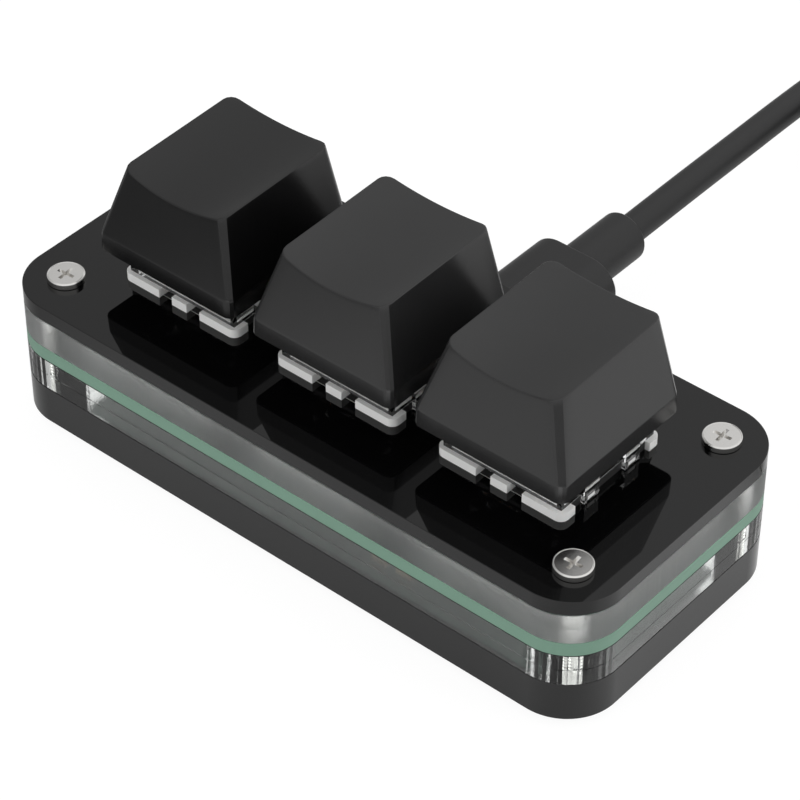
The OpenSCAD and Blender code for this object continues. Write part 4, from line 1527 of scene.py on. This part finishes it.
@dataclass
class CaseStack(SubAssembly):
    """Plates, clear spacers, board, screws, nuts and feet."""

    hole: float = 1.1
    hole_steps: int = 32
    hex_steps: int = 48
    pocket_x: float = 28.9
    pocket_y: float = 9.1
    pocket_corner: float = 0.8
    notch: float = 4.1
    air: float = 0.02
    facet: float = 0.33
    facet_deep: float = 0.03
    facet_deep_inside: float = 0.008
    opening: float = 7.0
    opening_corner: float = 0.12
    base_edge: float = 0.12
    lower_edge: float = 0.05
    upper_edge: float = 0.04
    board_edge: float = 0.05
    top_edge: float = 0.06
    saw_line: float = 0.02
    drill_marks: float = 0.02
    board_holes: tuple[tuple[float, float, float], ...] = (
        (0, 0, 2.025), (-3.81, 2.54, 0.75), (2.54, 5.08, 0.75),
    )
    nut_room: float = 0.09
    nut_mouth: float = 0.08
    nut_flats: float = 4.0
    nut_low: float = 1.9
    nut_high: float = 3.5
    nut_bore: float = 1.03
    nut_flare: float = 1.18
    nut_slope: float = 0.577
    head_radius: float = 1.95
    head_high: float = 0.7
    head_rim: float = 0.11
    recess_top: Span = (0.95, 0.19)
    recess_floor: Span = (0.45, 0.11)
    recess_deep: float = 0.5
    shank: float = 0.985
    thread_tip: float = 1.65
    thread_pitch: float = 0.4
    thread_deep: float = 0.16
    thread_steps: int = 5
    tip_radius: float = 0.7
    foot_x: float = 23.3
    foot_y: float = 10.3
    foot_profile: tuple[Point, ...] = (
        (0.01, 1.0), (3.5, 1.0), (3.5, 0.45), (3.42, 0.22), (3.22, 0.07), (2.95, 0.0), (2.6, 0.0),
        (2.4, 0.06), (0.01, 0.1),
    )

    def build(self) -> None:
        """Builds the stack from the feet up."""
        self.feet()
        self.base_plate()
        self.lower_spacer()
        self.board()
        self.upper_spacer()
        self.top_plate()
        self.screws()
        self.nuts()

    def case_outline(self) -> list[Point]:
        """Outline that all the layers share."""
        x, y = STACK.length / 2, STACK.depth / 2
        return outline(-x, x, -y, y, STACK.corner, 24)

    def pocket_outline(self) -> list[Point]:
        """Outline of the room inside the spacers."""
        return outline(-self.pocket_x, self.pocket_x, -self.pocket_y, self.pocket_y, self.pocket_corner, 10)

    def cut_marks(self, points: Sequence[Point], deep: float) -> list[Point]:
        """Gives an outline the fine upright facets that a cutter leaves, chiefly round the corners.

        Args:
            points: The smooth outline.
            deep: Depth of the marks.

        Returns:
            The marked outline.
        """
        made: list[Point] = []
        corner_x, corner_y = STACK.length / 2 - STACK.corner, STACK.depth / 2 - STACK.corner
        for (ax, ay), (bx, by) in zip(points, [*points[1:], points[0]]):
            long = math.dist((ax, ay), (bx, by))
            steps = max(1, round(long / self.facet))
            for step in range(steps):
                x, y = ax + (bx - ax) * step / steps, ay + (by - ay) * step / steps
                share = 1.0 if abs(x) > corner_x and abs(y) > corner_y else 0.05
                shift = deep * share * math.sin(91.7 * len(made))
                made.append((x + (by - ay) / long * shift, y - (bx - ax) / long * shift))
        return made

    def corner_holes(self, low: float, high: float, rough: float = 0.0) -> list[Wall]:
        """Walls of the four screw holes, between two heights.

        Args:
            low: Lower height.
            high: Upper height.
            rough: Depth of the drill's marks.

        Returns:
            The walls.
        """
        angles = even_angles(self.hole_steps)

        def drilled(angle: float) -> float:
            """Radius in a direction."""
            return self.hole + rough * math.sin(37.3 * angle)

        return [Wall.straight(polar(drilled, angles, x, y), low, high) for x, y in STACK.corners()]

    def base_plate(self) -> None:
        """Thick base with a hexagonal pocket for each nut."""
        low, high = STACK.base_low, STACK.base_top
        angles, roof = even_angles(self.hex_steps), self.nut_high + 0.02
        room = hexagon_radius(self.nut_flats + self.nut_room)
        walls = []
        for x, y in STACK.corners():
            wide = tuple(polar(lambda a: room(a) + self.nut_mouth, angles, x, y))
            hexagon = tuple(polar(room, angles, x, y))
            bore = tuple(circle(self.hole, angles, x, y))
            rings = ((wide, low), (hexagon, low + 0.1), (hexagon, roof), (bore, roof), (bore, high))
            walls.append(Wall(rings))
        shape = plate_shape(Wall.straight(self.case_outline(), low, high, self.base_edge), walls)
        self.dress("base", shape, "black_acrylic", "base_plate", finish=[Paint.BASE_SHEET])

    def open_side(self, points: Sequence[Point], back: float, deep: float) -> list[Point]:
        """Outline with the cutter's marks, open where the cable's notch crosses its back.

        Args:
            points: The closed outline.
            back: Place of its back side.
            deep: Depth of the marks.

        Returns:
            Its points from the left end of the notch round to the right end.
        """
        start = next(k for k, p in enumerate(points) if p[0] < 0 and p[1] > back - 1e-6)
        marked = self.cut_marks([*points[start:], *points[:start]], deep)
        kept = [p for p in marked if abs(p[0]) > self.notch or p[1] < 0]
        return [(-self.notch, back), *kept, (self.notch, back)]

    def lower_spacer(self) -> None:
        """Clear frame under the board, open at the back for the socket."""
        low, high = STACK.base_top + self.air, STACK.board_low - self.air
        around = self.open_side(self.case_outline(), STACK.depth / 2, self.facet_deep)
        inside = self.open_side(self.pocket_outline(), self.pocket_y, self.facet_deep_inside)
        wall = Wall.straight([*around, *reversed(inside)], low, high, self.lower_edge, self.saw_line)
        # The outer wall's lowest and highest strips take the dark finish: painted shade where the clear
        # sheet meets the base and the board.
        shape = plate_shape(wall, self.corner_holes(low, high, self.drill_marks), seam_shade_paint=1)
        finish = [Paint.CLEAR_LOWER, Paint.SEAM]
        self.dress("clear_low", shape, "clear_acrylic", "lower_spacer", finish=finish, crease=2)

    def upper_spacer(self) -> None:
        """Clear frame between the board and the top plate."""
        low, high = STACK.board_top + self.air, STACK.plate_low - self.air
        holes = [Wall.straight(self.pocket_outline(), low, high), *self.corner_holes(low, high)]
        shape = plate_shape(Wall.straight(self.case_outline(), low, high, self.upper_edge), holes)
        self.dress("clear_high", shape, "clear_acrylic", "upper_spacer", finish=[Paint.CLEAR_UPPER])

    def board(self) -> None:
        """Circuit board with holes for the screws, the switch pegs and the pins."""
        low, high = STACK.board_low, STACK.board_top
        holes, angles = self.corner_holes(low, high), even_angles(24)
        for key in KEYS:
            for x, y, radius in self.board_holes:
                holes.append(Wall.straight(circle(radius, angles, x + STACK.key_x(key), y), low, high))
        outer = Wall.straight(self.case_outline(), low, high, self.board_edge)
        shape = plate_shape(outer, holes, edge_paint=1)
        self.dress("board", shape, "circuit_board", "pcb", finish=[Paint.BOARD_MASK, Paint.BOARD_EDGE])

    def top_plate(self) -> None:
        """Polished top plate with three square openings."""
        low, high, half = STACK.plate_low, STACK.plate_top, self.opening
        holes = self.corner_holes(low, high)
        for key in KEYS:
            x = STACK.key_x(key)
            ring = outline(x - half, x + half, -half, half, self.opening_corner, 3)
            holes.append(Wall.straight(ring, low, high))
        shape = plate_shape(Wall.straight(self.case_outline(), low, high, self.top_edge), holes)
        self.dress("top", shape, "black_acrylic", "top_plate", finish=[Paint.GLOSS_SHEET])

    def thread(self, angles: Sequence[float]) -> list[Ring]:
        """Threaded shank of a screw.

        Args:
            angles: Angles of each ring's points.

        Returns:
            Its rings, from the tip up.
        """
        low, pitch = self.thread_tip + 0.3, self.thread_pitch
        rings = [level(circle(self.tip_radius, angles), self.thread_tip)]
        for k in range(int((STACK.plate_top - 0.4 - low) / (pitch / self.thread_steps))):
            z = low + k * pitch / self.thread_steps
            ring = []
            for a in angles:
                phase = (z / pitch - a / (2 * math.pi)) % 1
                radius = self.shank - self.thread_deep * (1 - abs(2 * phase - 1)) ** 0.8
                ring.append(Vector((radius * math.cos(a), radius * math.sin(a), z)))
            rings.append(ring)
        return rings

    def screws(self) -> None:
        """Four flat-headed screws with a crossed recess and a fine thread."""
        cross, floor = (CrossOutline(*bar, *bar) for bar in (self.recess_top, self.recess_floor))
        angles = cross.angles(4)
        seat, top = STACK.plate_top, STACK.plate_top + self.head_high
        wide, rim = self.head_radius, self.head_rim
        turned = [(self.shank, seat - 0.3), (self.shank, seat + 0.005)]
        turned += [(wide - 0.06, seat + 0.005), (wide, seat + 0.07)]
        turned += [(wide - rim + out, top - rim + up) for out, up in quarter_round(rim, 5)]
        turned += [(wide - rim - 0.04, top - 0.03), (wide - rim - 0.08, top), (1.35, top), (1.1, top)]
        deep = top - self.recess_deep
        recess = [(cross.wider(0.03), top), (cross.radius, top - 0.04), (floor.radius, deep)]
        recess.append((lambda a: floor.radius(a) * 0.3, deep - 0.08))
        shape = Shape()
        shape.loft([
            *self.thread(angles),
            *(level(circle(radius, angles), z) for radius, z in turned),
            *(level(polar(radius_at, angles), z) for radius_at, z in recess),
        ])
        self.four("screws", shape, Paint.NICKEL, "screw_steel", "case_screws", turn=6.0, crease=25)

    def four(
        self,
        name: str,
        shape: Shape,
        paint: Paint,
        slot: str,
        node: str,
        turn: float = 0.0,
        crease: float = 30.0,
    ) -> None:
        """Seats four copies of a shape on the places of the screws.

        Args:
            name: Name of the piece.
            shape: Shape of one copy.
            paint: Its finish.
            slot: Material slot of the record.
            node: Name of the solid that the piece stands for.
            turn: Most that a copy is turned, in degrees.
            crease: Angle above which an edge stays sharp.
        """
        spacing = (2 * STACK.screw_x, 2 * STACK.screw_y)
        mesh, finish = shape.mesh(name + "_skin"), self.paint(paint)[0]
        self.seat(self.pattern.repeat(name, mesh, finish, spacing, turn=turn, crease=crease), slot, node)

    def nuts(self) -> None:
        """Four hexagonal nuts with broken corners, in the pockets of the base."""
        angles, hexagon = even_angles(self.hex_steps), hexagon_radius(self.nut_flats)
        low, high = self.nut_low, self.nut_high

        def broken(z: float, sign: int) -> Ring:
            """Ring of the hexagon's edge, drawn towards its middle height at the corners.

            Args:
                z: Height of the face that it belongs to.
                sign: 1 on the lower face and -1 on the upper one.

            Returns:
                The ring.
            """
            made = []
            for a in angles:
                radius = hexagon(a)
                drop = (radius - self.nut_flats / 2 * 0.98) * self.nut_slope
                made.append(Vector((radius * math.cos(a), radius * math.sin(a), z + sign * drop)))
            return made

        def ring(radius: float, z: float) -> Ring:
            """Round ring."""
            return level(circle(radius, angles), z)

        inner, bore, flare = self.nut_flats / 2 * 0.97, self.nut_bore, self.nut_flare
        shape = Shape()
        shape.hoop([
            ring(bore, low + 0.12), ring(flare, low), ring(inner, low), broken(low, 1), broken(high, -1),
            ring(inner, high), ring(flare, high), ring(bore, high - 0.12),
        ])
        self.four("nuts", shape, Paint.BRASS, "nut_brass", "case_nuts")

    def feet(self) -> None:
        """Four soft feet under the base, slightly rounded and hollowed below."""
        mesh, rubber = revolve(self.foot_profile, 56).mesh("foot"), self.paint(Paint.RUBBER)[0]
        piece = self.pattern.repeat("feet", mesh, rubber, (2 * self.foot_x, 2 * self.foot_y), crease=50)
        self.seat(piece, "foot_rubber", "rubber_feet")


@dataclass
class BoardParts(SubAssembly):
    """What is soldered under the board: controller, small parts, joints and the socket."""

    parts: tuple[tuple[str, str, Paint, float], ...] = (
        ("controller_chip", "chip_black", Paint.CHIP, 0.05),
        ("chip_leads", "solder_tin", Paint.SOLDER, 0.03),
        ("capacitors", "capacitor_tan", Paint.CERAMIC, 0.05),
        ("resistors", "resistor_black", Paint.RESISTOR, 0.03),
        ("solder_joints", "solder_tin", Paint.SOLDER, 0.06),
        ("usb_socket", "socket_steel", Paint.TIN, 0.05),
        ("usb_socket_tongue", "stem_dark", Paint.STEM, 0.04),
    )

    def build(self) -> None:
        """Refines each solid with its slot, its finish and the rounding of its edges."""
        for part in self.parts:
            self.refined(*part)


@dataclass
class KeySwitch(SubAssembly):
    """One push switch: housing, clear cover, contacts, spring and stem."""

    springs: SpringTree | None = None
    number: int = 1
    spring_low: float = 12.33
    spring_high: float = 20.27
    spring_radius: float = 2.02
    spring_wire: float = 0.13
    spring_turns: float = 9
    travel: float = 4.0
    slot_places: Span = (-1.81, 1.93)
    slot_half: float = 0.87
    slot_from: Span = (6.15, 7.1)
    slot_deep: float = 0.15
    side_x: float = 7.05

    def build(self) -> None:
        """Builds the switch's pieces; only the stem moves with the key."""
        n = self.number
        self.paint_slot_shade(self.refined(f"switch_housing_{n}", "housing_white", Paint.HOUSING, 0.14))
        self.refined(f"switch_cover_{n}", "cover_clear", Paint.COVER, 0.05, shrink=0.008)
        self.refined(f"switch_contacts_{n}", "contact_brass", Paint.BRASS, 0.03)
        self.refined(f"key_stem_{n}", "stem_dark", Paint.STEM, 0.06, body=f"key_{n}")
        self.spring()

    def paint_slot_shade(self, housing: bpy.types.Object) -> None:
        """Paints near-black the inside of the flange's slots and the housing's upright sides just above the
        plate: painted shade, where the white housing lies in the dark.

        Args:
            housing: The switch's housing.
        """
        # Near-black painted shade for the faces of the white housing that lie in the dark.
        housing.data.materials.append(self.paint(Paint.SLOT_SHADE)[0])
        near, far = self.slot_from
        for face in housing.data.polygons:
            x, y, z = face.center / MM
            x -= STACK.key_x(self.number)
            sideways = abs(face.normal.x)
            in_slot = any(abs(x - place) < self.slot_half for place in self.slot_places)
            in_slot = in_slot and near < abs(y) < far and sideways < 0.5
            in_side = abs(abs(x) - self.side_x) < 0.02 and sideways > 0.9
            if (in_slot or in_side) and z > STACK.plate_top - self.slot_deep:
                face.material_index = 1

    def spring(self) -> None:
        """Spring round the post, at its resting length."""
        n, x, wire = self.number, STACK.key_x(self.number), self.spring_wire
        name, steel = f"key_spring_{n}_shown", self.paint(Paint.SPRING)[0]
        height = self.spring_high - self.spring_low
        piece = self.springs.wind(name, steel, self.spring_turns, self.spring_radius, height, wire)
        piece.data.transform(Matrix.Translation((x * MM, 0, self.spring_low * MM)))
        smooth(piece.data, 50)
        self.seat(piece, "spring_steel", f"key_spring_{n}")
        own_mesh(piece)


@dataclass
class Keycap(SubAssembly):
    """One keycap: an upright band, four sloping sides and a hollow top."""

    number: int = 1
    wide: float = 17.94
    front: float = 9.5
    back: float = 8.45
    rim: float = 4.26
    band: float = 2.05
    height: float = 10.1
    rise: float = 0.35
    top_wide: float = 13.2
    top_front: float = 7.6
    top_back: float = 8.0
    top_thick: float = 1.2
    dish_front: float = 1.0
    dish_back: float = 0.55
    wall: float = 0.8
    front_wall: float = 0.4
    corner: float = 1.0
    top_corner: float = 1.15
    edge: float = 0.14
    edge_steps: int = 5
    corner_steps: int = 4
    side_steps: int = 14
    band_drawn: float = 0.075
    rim_edge: float = 0.12
    side_shares: tuple[float, ...] = (0.012, 0.03, 0.5, 0.93)
    top_shares: tuple[float, ...] = (0.10, 0.16, 0.25, 0.37, 0.5, 0.63, 0.76, 0.88, 0.97)
    inside_shares: tuple[float, ...] = (0.0, 0.5, 0.97, 1.0)
    inside_corner: float = 0.5
    grip_cross: tuple[float, float, float, float] = (2.02, 0.665, 2.02, 0.565)
    grip_low: float = 6.56
    grip_long: float = 3.75
    grip_radius: float = 2.75
    grip_edge: float = 0.13
    grip_into: float = 0.1
    rib_low: float = 10.75
    rib_from: float = 2.5
    rib_half: float = 0.5

    def build(self) -> None:
        """Builds the cap and seats it on its key."""
        n = self.number
        self.body = f"key_{n}"
        shape = Shape()
        self.shell(shape)
        self.grip(shape)
        mesh = shape.mesh("keycap")
        mesh.transform(Matrix.Translation((STACK.key_x(n) * MM, 0, STACK.plate_top * MM)))
        # The first key gets the darker copy of the cap plastic: painted shade, as it lies in less light.
        finish = self.paint(Paint.SHADED_CAP if n == 1 else Paint.CAP)
        self.seat(make_piece(f"keycap_{n}_shown", mesh, finish, 20), "keycap_black", f"keycap_{n}")

    def backwards(self, y: float) -> float:
        """How far back a place lies on the top: 0 at the front and 1 at the back."""
        return (y + self.top_front) / (self.top_front + self.top_back)

    def plane(self, y: float) -> float:
        """Height of the sloping top before it is hollowed."""
        return self.rim + self.height + self.rise * self.backwards(y)

    def hollow(self, x: float, y: float) -> float:
        """Depth of the hollow, which is less at the back.

        Args:
            x, y: Place on the top.

        Returns:
            The depth.
        """
        dish = self.dish_front + (self.dish_back - self.dish_front) * self.backwards(y)
        radius = self.top_wide**2 / 8 / dish + dish / 2
        return max(0.0, math.sqrt(max(0.0, radius**2 - x**2)) - radius + dish)

    def on_top(self, flat: Vector) -> Vector:
        """Place on the hollow top, above or below a flat one."""
        return Vector((flat.x, flat.y, self.plane(flat.y) - self.hollow(flat.x, flat.y)))

    def section(self, half: float, front: float, back: float, corner: float) -> list[Point]:
        """Outline of a level of the cap, by half its width, its front, its back and its corner radius."""
        return outline(-half, half, -front, back, corner, self.corner_steps, self.side_steps)

    def foot(self, drawn: float) -> list[Point]:
        """Outline of the upright band, drawn in by an amount."""
        corner = max(0.25, self.corner - drawn * 0.6)
        return self.section(self.wide / 2 - drawn, self.front - drawn, self.back - drawn, corner)

    def roof(self) -> float:
        """Height of the top's underside."""
        return self.rim + self.height - self.dish_front - self.top_thick

    def room(self, share: float, z: float) -> Ring:
        """Ring on the inside of the cap.

        Args:
            share: How far up it lies between the given height and the roof.
            z: The given height.

        Returns:
            The ring.
        """
        roof = self.roof()
        half, top_half = (self.wide - 2 * self.wall) / 2, self.top_wide / 2 - 0.6 * self.wall
        low = self.section(half, self.front - self.wall, self.back - self.wall, self.inside_corner)
        front, back = self.top_front - self.front_wall, self.top_back - self.wall
        high = self.section(top_half, front, back, self.inside_corner)
        return [
            Vector((a[0] + (b[0] - a[0]) * share, a[1] + (b[1] - a[1]) * share, z + (roof - z) * share))
            for a, b in zip(low, high)
        ]

    def crest(self, low: Vector, high: Vector) -> Vector:
        """Where a line up the side meets the hollow top.

        Args:
            low, high: The line's ends, at the foot of the side and on the top before it is hollowed.

        Returns:
            The place.
        """
        point = high.copy()
        for _ in range(4):
            drop = self.hollow(point.x, point.y) / (high.z - low.z)
            point = high.lerp(low, min(drop, 0.9))
        return point

    def shell(self, shape: Shape) -> None:
        """Outside, top and inside of the cap as one closed skin.

        Args:
            shape: The shape that gets the skin.
        """
        foot, waist = self.foot(0.0), self.foot(self.band_drawn)
        head = self.section(self.top_wide / 2, self.top_front, self.top_back, self.top_corner)
        rim, edge, waist_z = self.rim, self.rim_edge, self.rim + self.band
        low = level(waist, waist_z)
        crest = [self.crest(a, Vector((x, y, self.plane(y)))) for a, (x, y) in zip(low, head)]
        centre = Vector((0, (self.top_back - self.top_front) / 2, 0))
        rings = [
            self.room(0.0, rim + edge),
            level(self.foot(self.wall - 0.1), rim),
            level(self.foot(edge), rim),
            level(foot, rim + edge),
            level(foot, rim + 0.3),
            level(waist, waist_z - 0.12),
        ]
        rings += [[a.lerp(b, share) for a, b in zip(low, crest)] for share in self.side_shares]
        rings += self.rounded(low, crest, centre)
        for share in self.top_shares:
            rings.append([self.on_top(Vector((p.x, p.y, 0)).lerp(centre, share)) for p in crest])
        shape.fan(shape.loft(rings, closed=False)[-1])
        under = [self.room(0.0, rim + edge), *(self.room(share, waist_z) for share in self.inside_shares)]
        shape.fan(shape.loft(under, closed=False)[-1])

    def rounded(self, low: Sequence[Vector], crest: Sequence[Vector], centre: Vector) -> list[Ring]:
        """Rounded edge between the sides and the top.

        Args:
            low: Points at the foot of the sloping sides.
            crest: Points where the sides would meet the top.
            centre: Middle of the top.

        Returns:
            Its rings, from the sides to the top.
        """
        near = [c + (a - c).normalized() * self.edge for a, c in zip(low, crest)]
        far = []
        for point in crest:
            flat = Vector((point.x, point.y, 0))
            far.append(self.on_top(flat + (centre - flat).normalized() * self.edge))
        rings = []
        for k in range(self.edge_steps + 1):
            t = k / self.edge_steps
            points = zip(near, crest, far)
            rings.append([a * (1 - t) ** 2 + c * 2 * t * (1 - t) + b * t**2 for a, c, b in points])
        return rings

    def grip(self, shape: Shape) -> None:
        """Tube that grips the stem's cross, and the ribs that hold it.

        Args:
            shape: The shape that gets them.
        """
        cross = CrossOutline(*self.grip_cross)
        angles, low, wide = cross.angles(4), self.grip_low, self.grip_radius
        roof = self.roof() + self.grip_into
        tube = ((wide, roof), (wide, low + 0.15), (wide - self.grip_edge, low))
        bore = ((cross.wider(0.12), low), (cross.radius, low + 0.2), (cross.radius, low + self.grip_long))
        shape.loft([
            *(level(circle(radius, angles), z) for radius, z in tube),
            *(level(polar(radius_at, angles), z) for radius_at, z in bore),
        ])
        half, near, side = self.rib_half, self.rib_from, self.top_wide / 2
        front, back = self.front_wall - self.top_front, self.top_back - self.wall / 2
        ribs = (
            (near, side, -half, half),
            (-side, -near, -half, half),
            (-half, half, near, back),
            (-half, half, front, -near),
        )
        for sides in ribs:
            points = outline(*sides, 0.08, 2)
            shape.loft([level(points, self.rib_low), level(points, roof)])


# Studio


@dataclass
class Studio:
    """Camera, floor, lamps and the pale surround."""

    lens: float = 141.68
    sensor: float = 36
    clip: Span = (0.01, 20)
    place: tuple[float, float, float] = (153.423, -177.942, 214.027)
    right: tuple[float, float, float] = (0.7616064, 0.6480399, 0.0)
    up: tuple[float, float, float] = (-0.4240949, 0.4984159, 0.7561250)
    away: tuple[float, float, float] = (0.4899992, -0.5758697, 0.6544272)
    surround: float = 0.70
    side_from: Span = (-0.75, -0.10)
    side_to: Span = (0.46, 0.96)
    shade_from: Span = (-0.075, -0.018)
    shade_to: Span = (0.34, 1.0)
    right_from: Span = (0.028, 0.038)
    right_back: Span = (-0.020, -0.009)
    right_to: Span = (1.0, 1.2)
    patch_side: Span = (0.02, 0.04)
    patch_front: Span = (-0.045, -0.03)
    patch_from: Span = (0.055, 0.085)
    patch_to: Span = (1.4, -0.65)
    mirror_glow: float = 0.27
    mirror_tone: float = 0.5
    floor_half: float = 6.0
    floor_tone: float = 0.80
    floor_glow: float = 0.93
    floor_lit: float = 0.11
    aim: tuple[float, float, float] = (0, 0, 0.01)

    def build(self) -> None:
        """Sets the whole studio."""
        self.camera()
        self.floor()
        self.surroundings()
        self.lamp("overhead", (-0.1, 0.1, 1.1), 0.9, 1.8)
        self.lamp("right_side", (1.0, 0.5, 0.5), 0.7, 4.2)
        self.lamp("front_side", (-0.35, -1.1, 0.32), 0.6, 3.2)
        bpy.context.scene.view_settings.view_transform = "Standard"

    def camera(self) -> None:
        """Camera at the photograph's angle."""
        data = bpy.data.cameras.new("camera")
        data.sensor_fit = "HORIZONTAL"
        data.sensor_width = self.sensor
        data.lens = self.lens
        data.clip_start, data.clip_end = self.clip
        camera = new_object("camera", data)
        turn = Matrix((self.right, self.up, self.away)).transposed().to_4x4()
        camera.matrix_world = Matrix.Translation(Vector(self.place) * MM) @ turn
        bpy.context.scene.camera = camera

    def floor(self) -> None:
        """Pale floor that keeps a soft shadow."""
        mesh, half = bpy.data.meshes.new("floor"), self.floor_half
        corners = [(-half, -half, 0), (half, -half, 0), (half, half, 0), (-half, half, 0)]
        mesh.from_pydata(corners, [], [(0, 1, 2, 3)])
        floor = new_object("floor", mesh)
        mesh.materials.append(self.floor_white())

    def floor_white(self) -> bpy.types.Material:
        """Material of the floor, with a look of its own where it is seen and another in reflections.

        Returns:
            The material.
        """
        tree = MaterialTree("floor_white")
        ray = tree.nodes.new("ShaderNodeLightPath").outputs
        seen = tree.math("MAXIMUM", ray["Is Camera Ray"], ray["Is Transmission Ray"])
        share = self.mirrored_share(tree)
        diffuse = tree.add("ShaderNodeBsdfDiffuse", (self.floor_tone,) * 3 + (1,))
        own = tree.add("ShaderNodeEmission", WHITE, tree.product(share, self.mirror_glow))
        tone = tree.product(share, self.mirror_tone)
        grey = tree.add("ShaderNodeCombineColor", tone, tone, tone).outputs[0]
        sheen = tree.add("ShaderNodeBsdfDiffuse", grey)
        glow = tree.add("ShaderNodeEmission", WHITE, self.floor_glow)
        lit = tree.add("ShaderNodeBsdfDiffuse", (self.floor_lit,) * 3 + (1,))
        unseen = tree.mixed(ray["Is Glossy Ray"], diffuse, tree.summed(own, sheen))
        return tree.surface(tree.mixed(seen, unseen, tree.summed(glow, lit)))

    def mirrored_share(self, tree: MaterialTree) -> bpy.types.NodeSocket:
        """How bright the floor is in reflections, by the place on it.

        Args:
            tree: The floor's node tree.

        Returns:
            The share of its full brightness.
        """
        place = tree.nodes.new("ShaderNodeTexCoord").outputs["Object"]
        apart = tree.add("ShaderNodeSeparateXYZ", place).outputs
        x, y = apart["X"], apart["Y"]
        shade = tree.ranged(x, self.shade_from, self.shade_to, soft=True)
        beside = tree.product(
            tree.ranged(x, self.right_from, soft=True),
            tree.ranged(y, self.right_back, soft=True),
        )
        patch = tree.product(
            tree.ranged(x, self.patch_side, soft=True),
            tree.ranged(y, self.patch_front, (1.0, 0.0), soft=True),
            tree.ranged(x, self.patch_from, self.patch_to, soft=True),
        )
        brighter = tree.ranged(beside, wanted=self.right_to, soft=True)
        return tree.product(shade, brighter, tree.math("ADD", patch, 1.0))

    def surroundings(self) -> None:
        """Pale surround: white where it is seen, a little darker to the left in reflections."""
        world = bpy.data.worlds.new("surround")
        world.use_nodes = True
        bpy.context.scene.world = world
        tree = Tree(world.node_tree)
        tree.nodes.clear()
        ray = tree.nodes.new("ShaderNodeLightPath").outputs
        place = tree.nodes.new("ShaderNodeTexCoord").outputs["Generated"]
        side = tree.add("ShaderNodeSeparateXYZ", place).outputs["X"]
        mirrored = tree.ranged(side, self.side_from, self.side_to)
        plain, tinted, seen = (
            tree.add("ShaderNodeBackground", WHITE, strength) for strength in (self.surround, mirrored, 1.0)
        )
        unseen = tree.mixed(ray["Is Glossy Ray"], plain, tinted)
        shown = tree.mixed(ray["Is Camera Ray"], unseen, seen)
        tree.add("ShaderNodeOutputWorld", shown.outputs[0])

    def lamp(self, name: str, place: Sequence[float], size: float, power: float) -> None:
        """Square soft lamp that looks at the keypad.

        Args:
            name: Its name.
            place: Its place, in metres.
            size: Length of its sides, in metres.
            power: Its power, in watts.
        """
        data = bpy.data.lights.new(name, "AREA")
        data.size = size
        data.energy = power
        lamp = new_object(name, data)
        lamp.visible_glossy = False
        lamp.location = place
        lamp.rotation_mode = "QUATERNION"
        lamp.rotation_quaternion = (Vector(place) - Vector(self.aim)).to_track_quat("Z", "Y")


def main() -> None:
    """Builds the studio and every sub-assembly in order."""
    logging.basicConfig(level=logging.INFO, format="%(message)s")
    Studio().build()
    paints, pattern, springs = Paintbox(), PatternTree(), SpringTree()
    CableSet(paints, pattern).build()
    CaseStack(paints, pattern).build()
    BoardParts(paints, pattern).build()
    for number in KEYS:
        KeySwitch(paints, pattern, springs=springs, number=number).build()
        Keycap(paints, pattern, number=number).build()


if __name__ == "__main__":
    main()
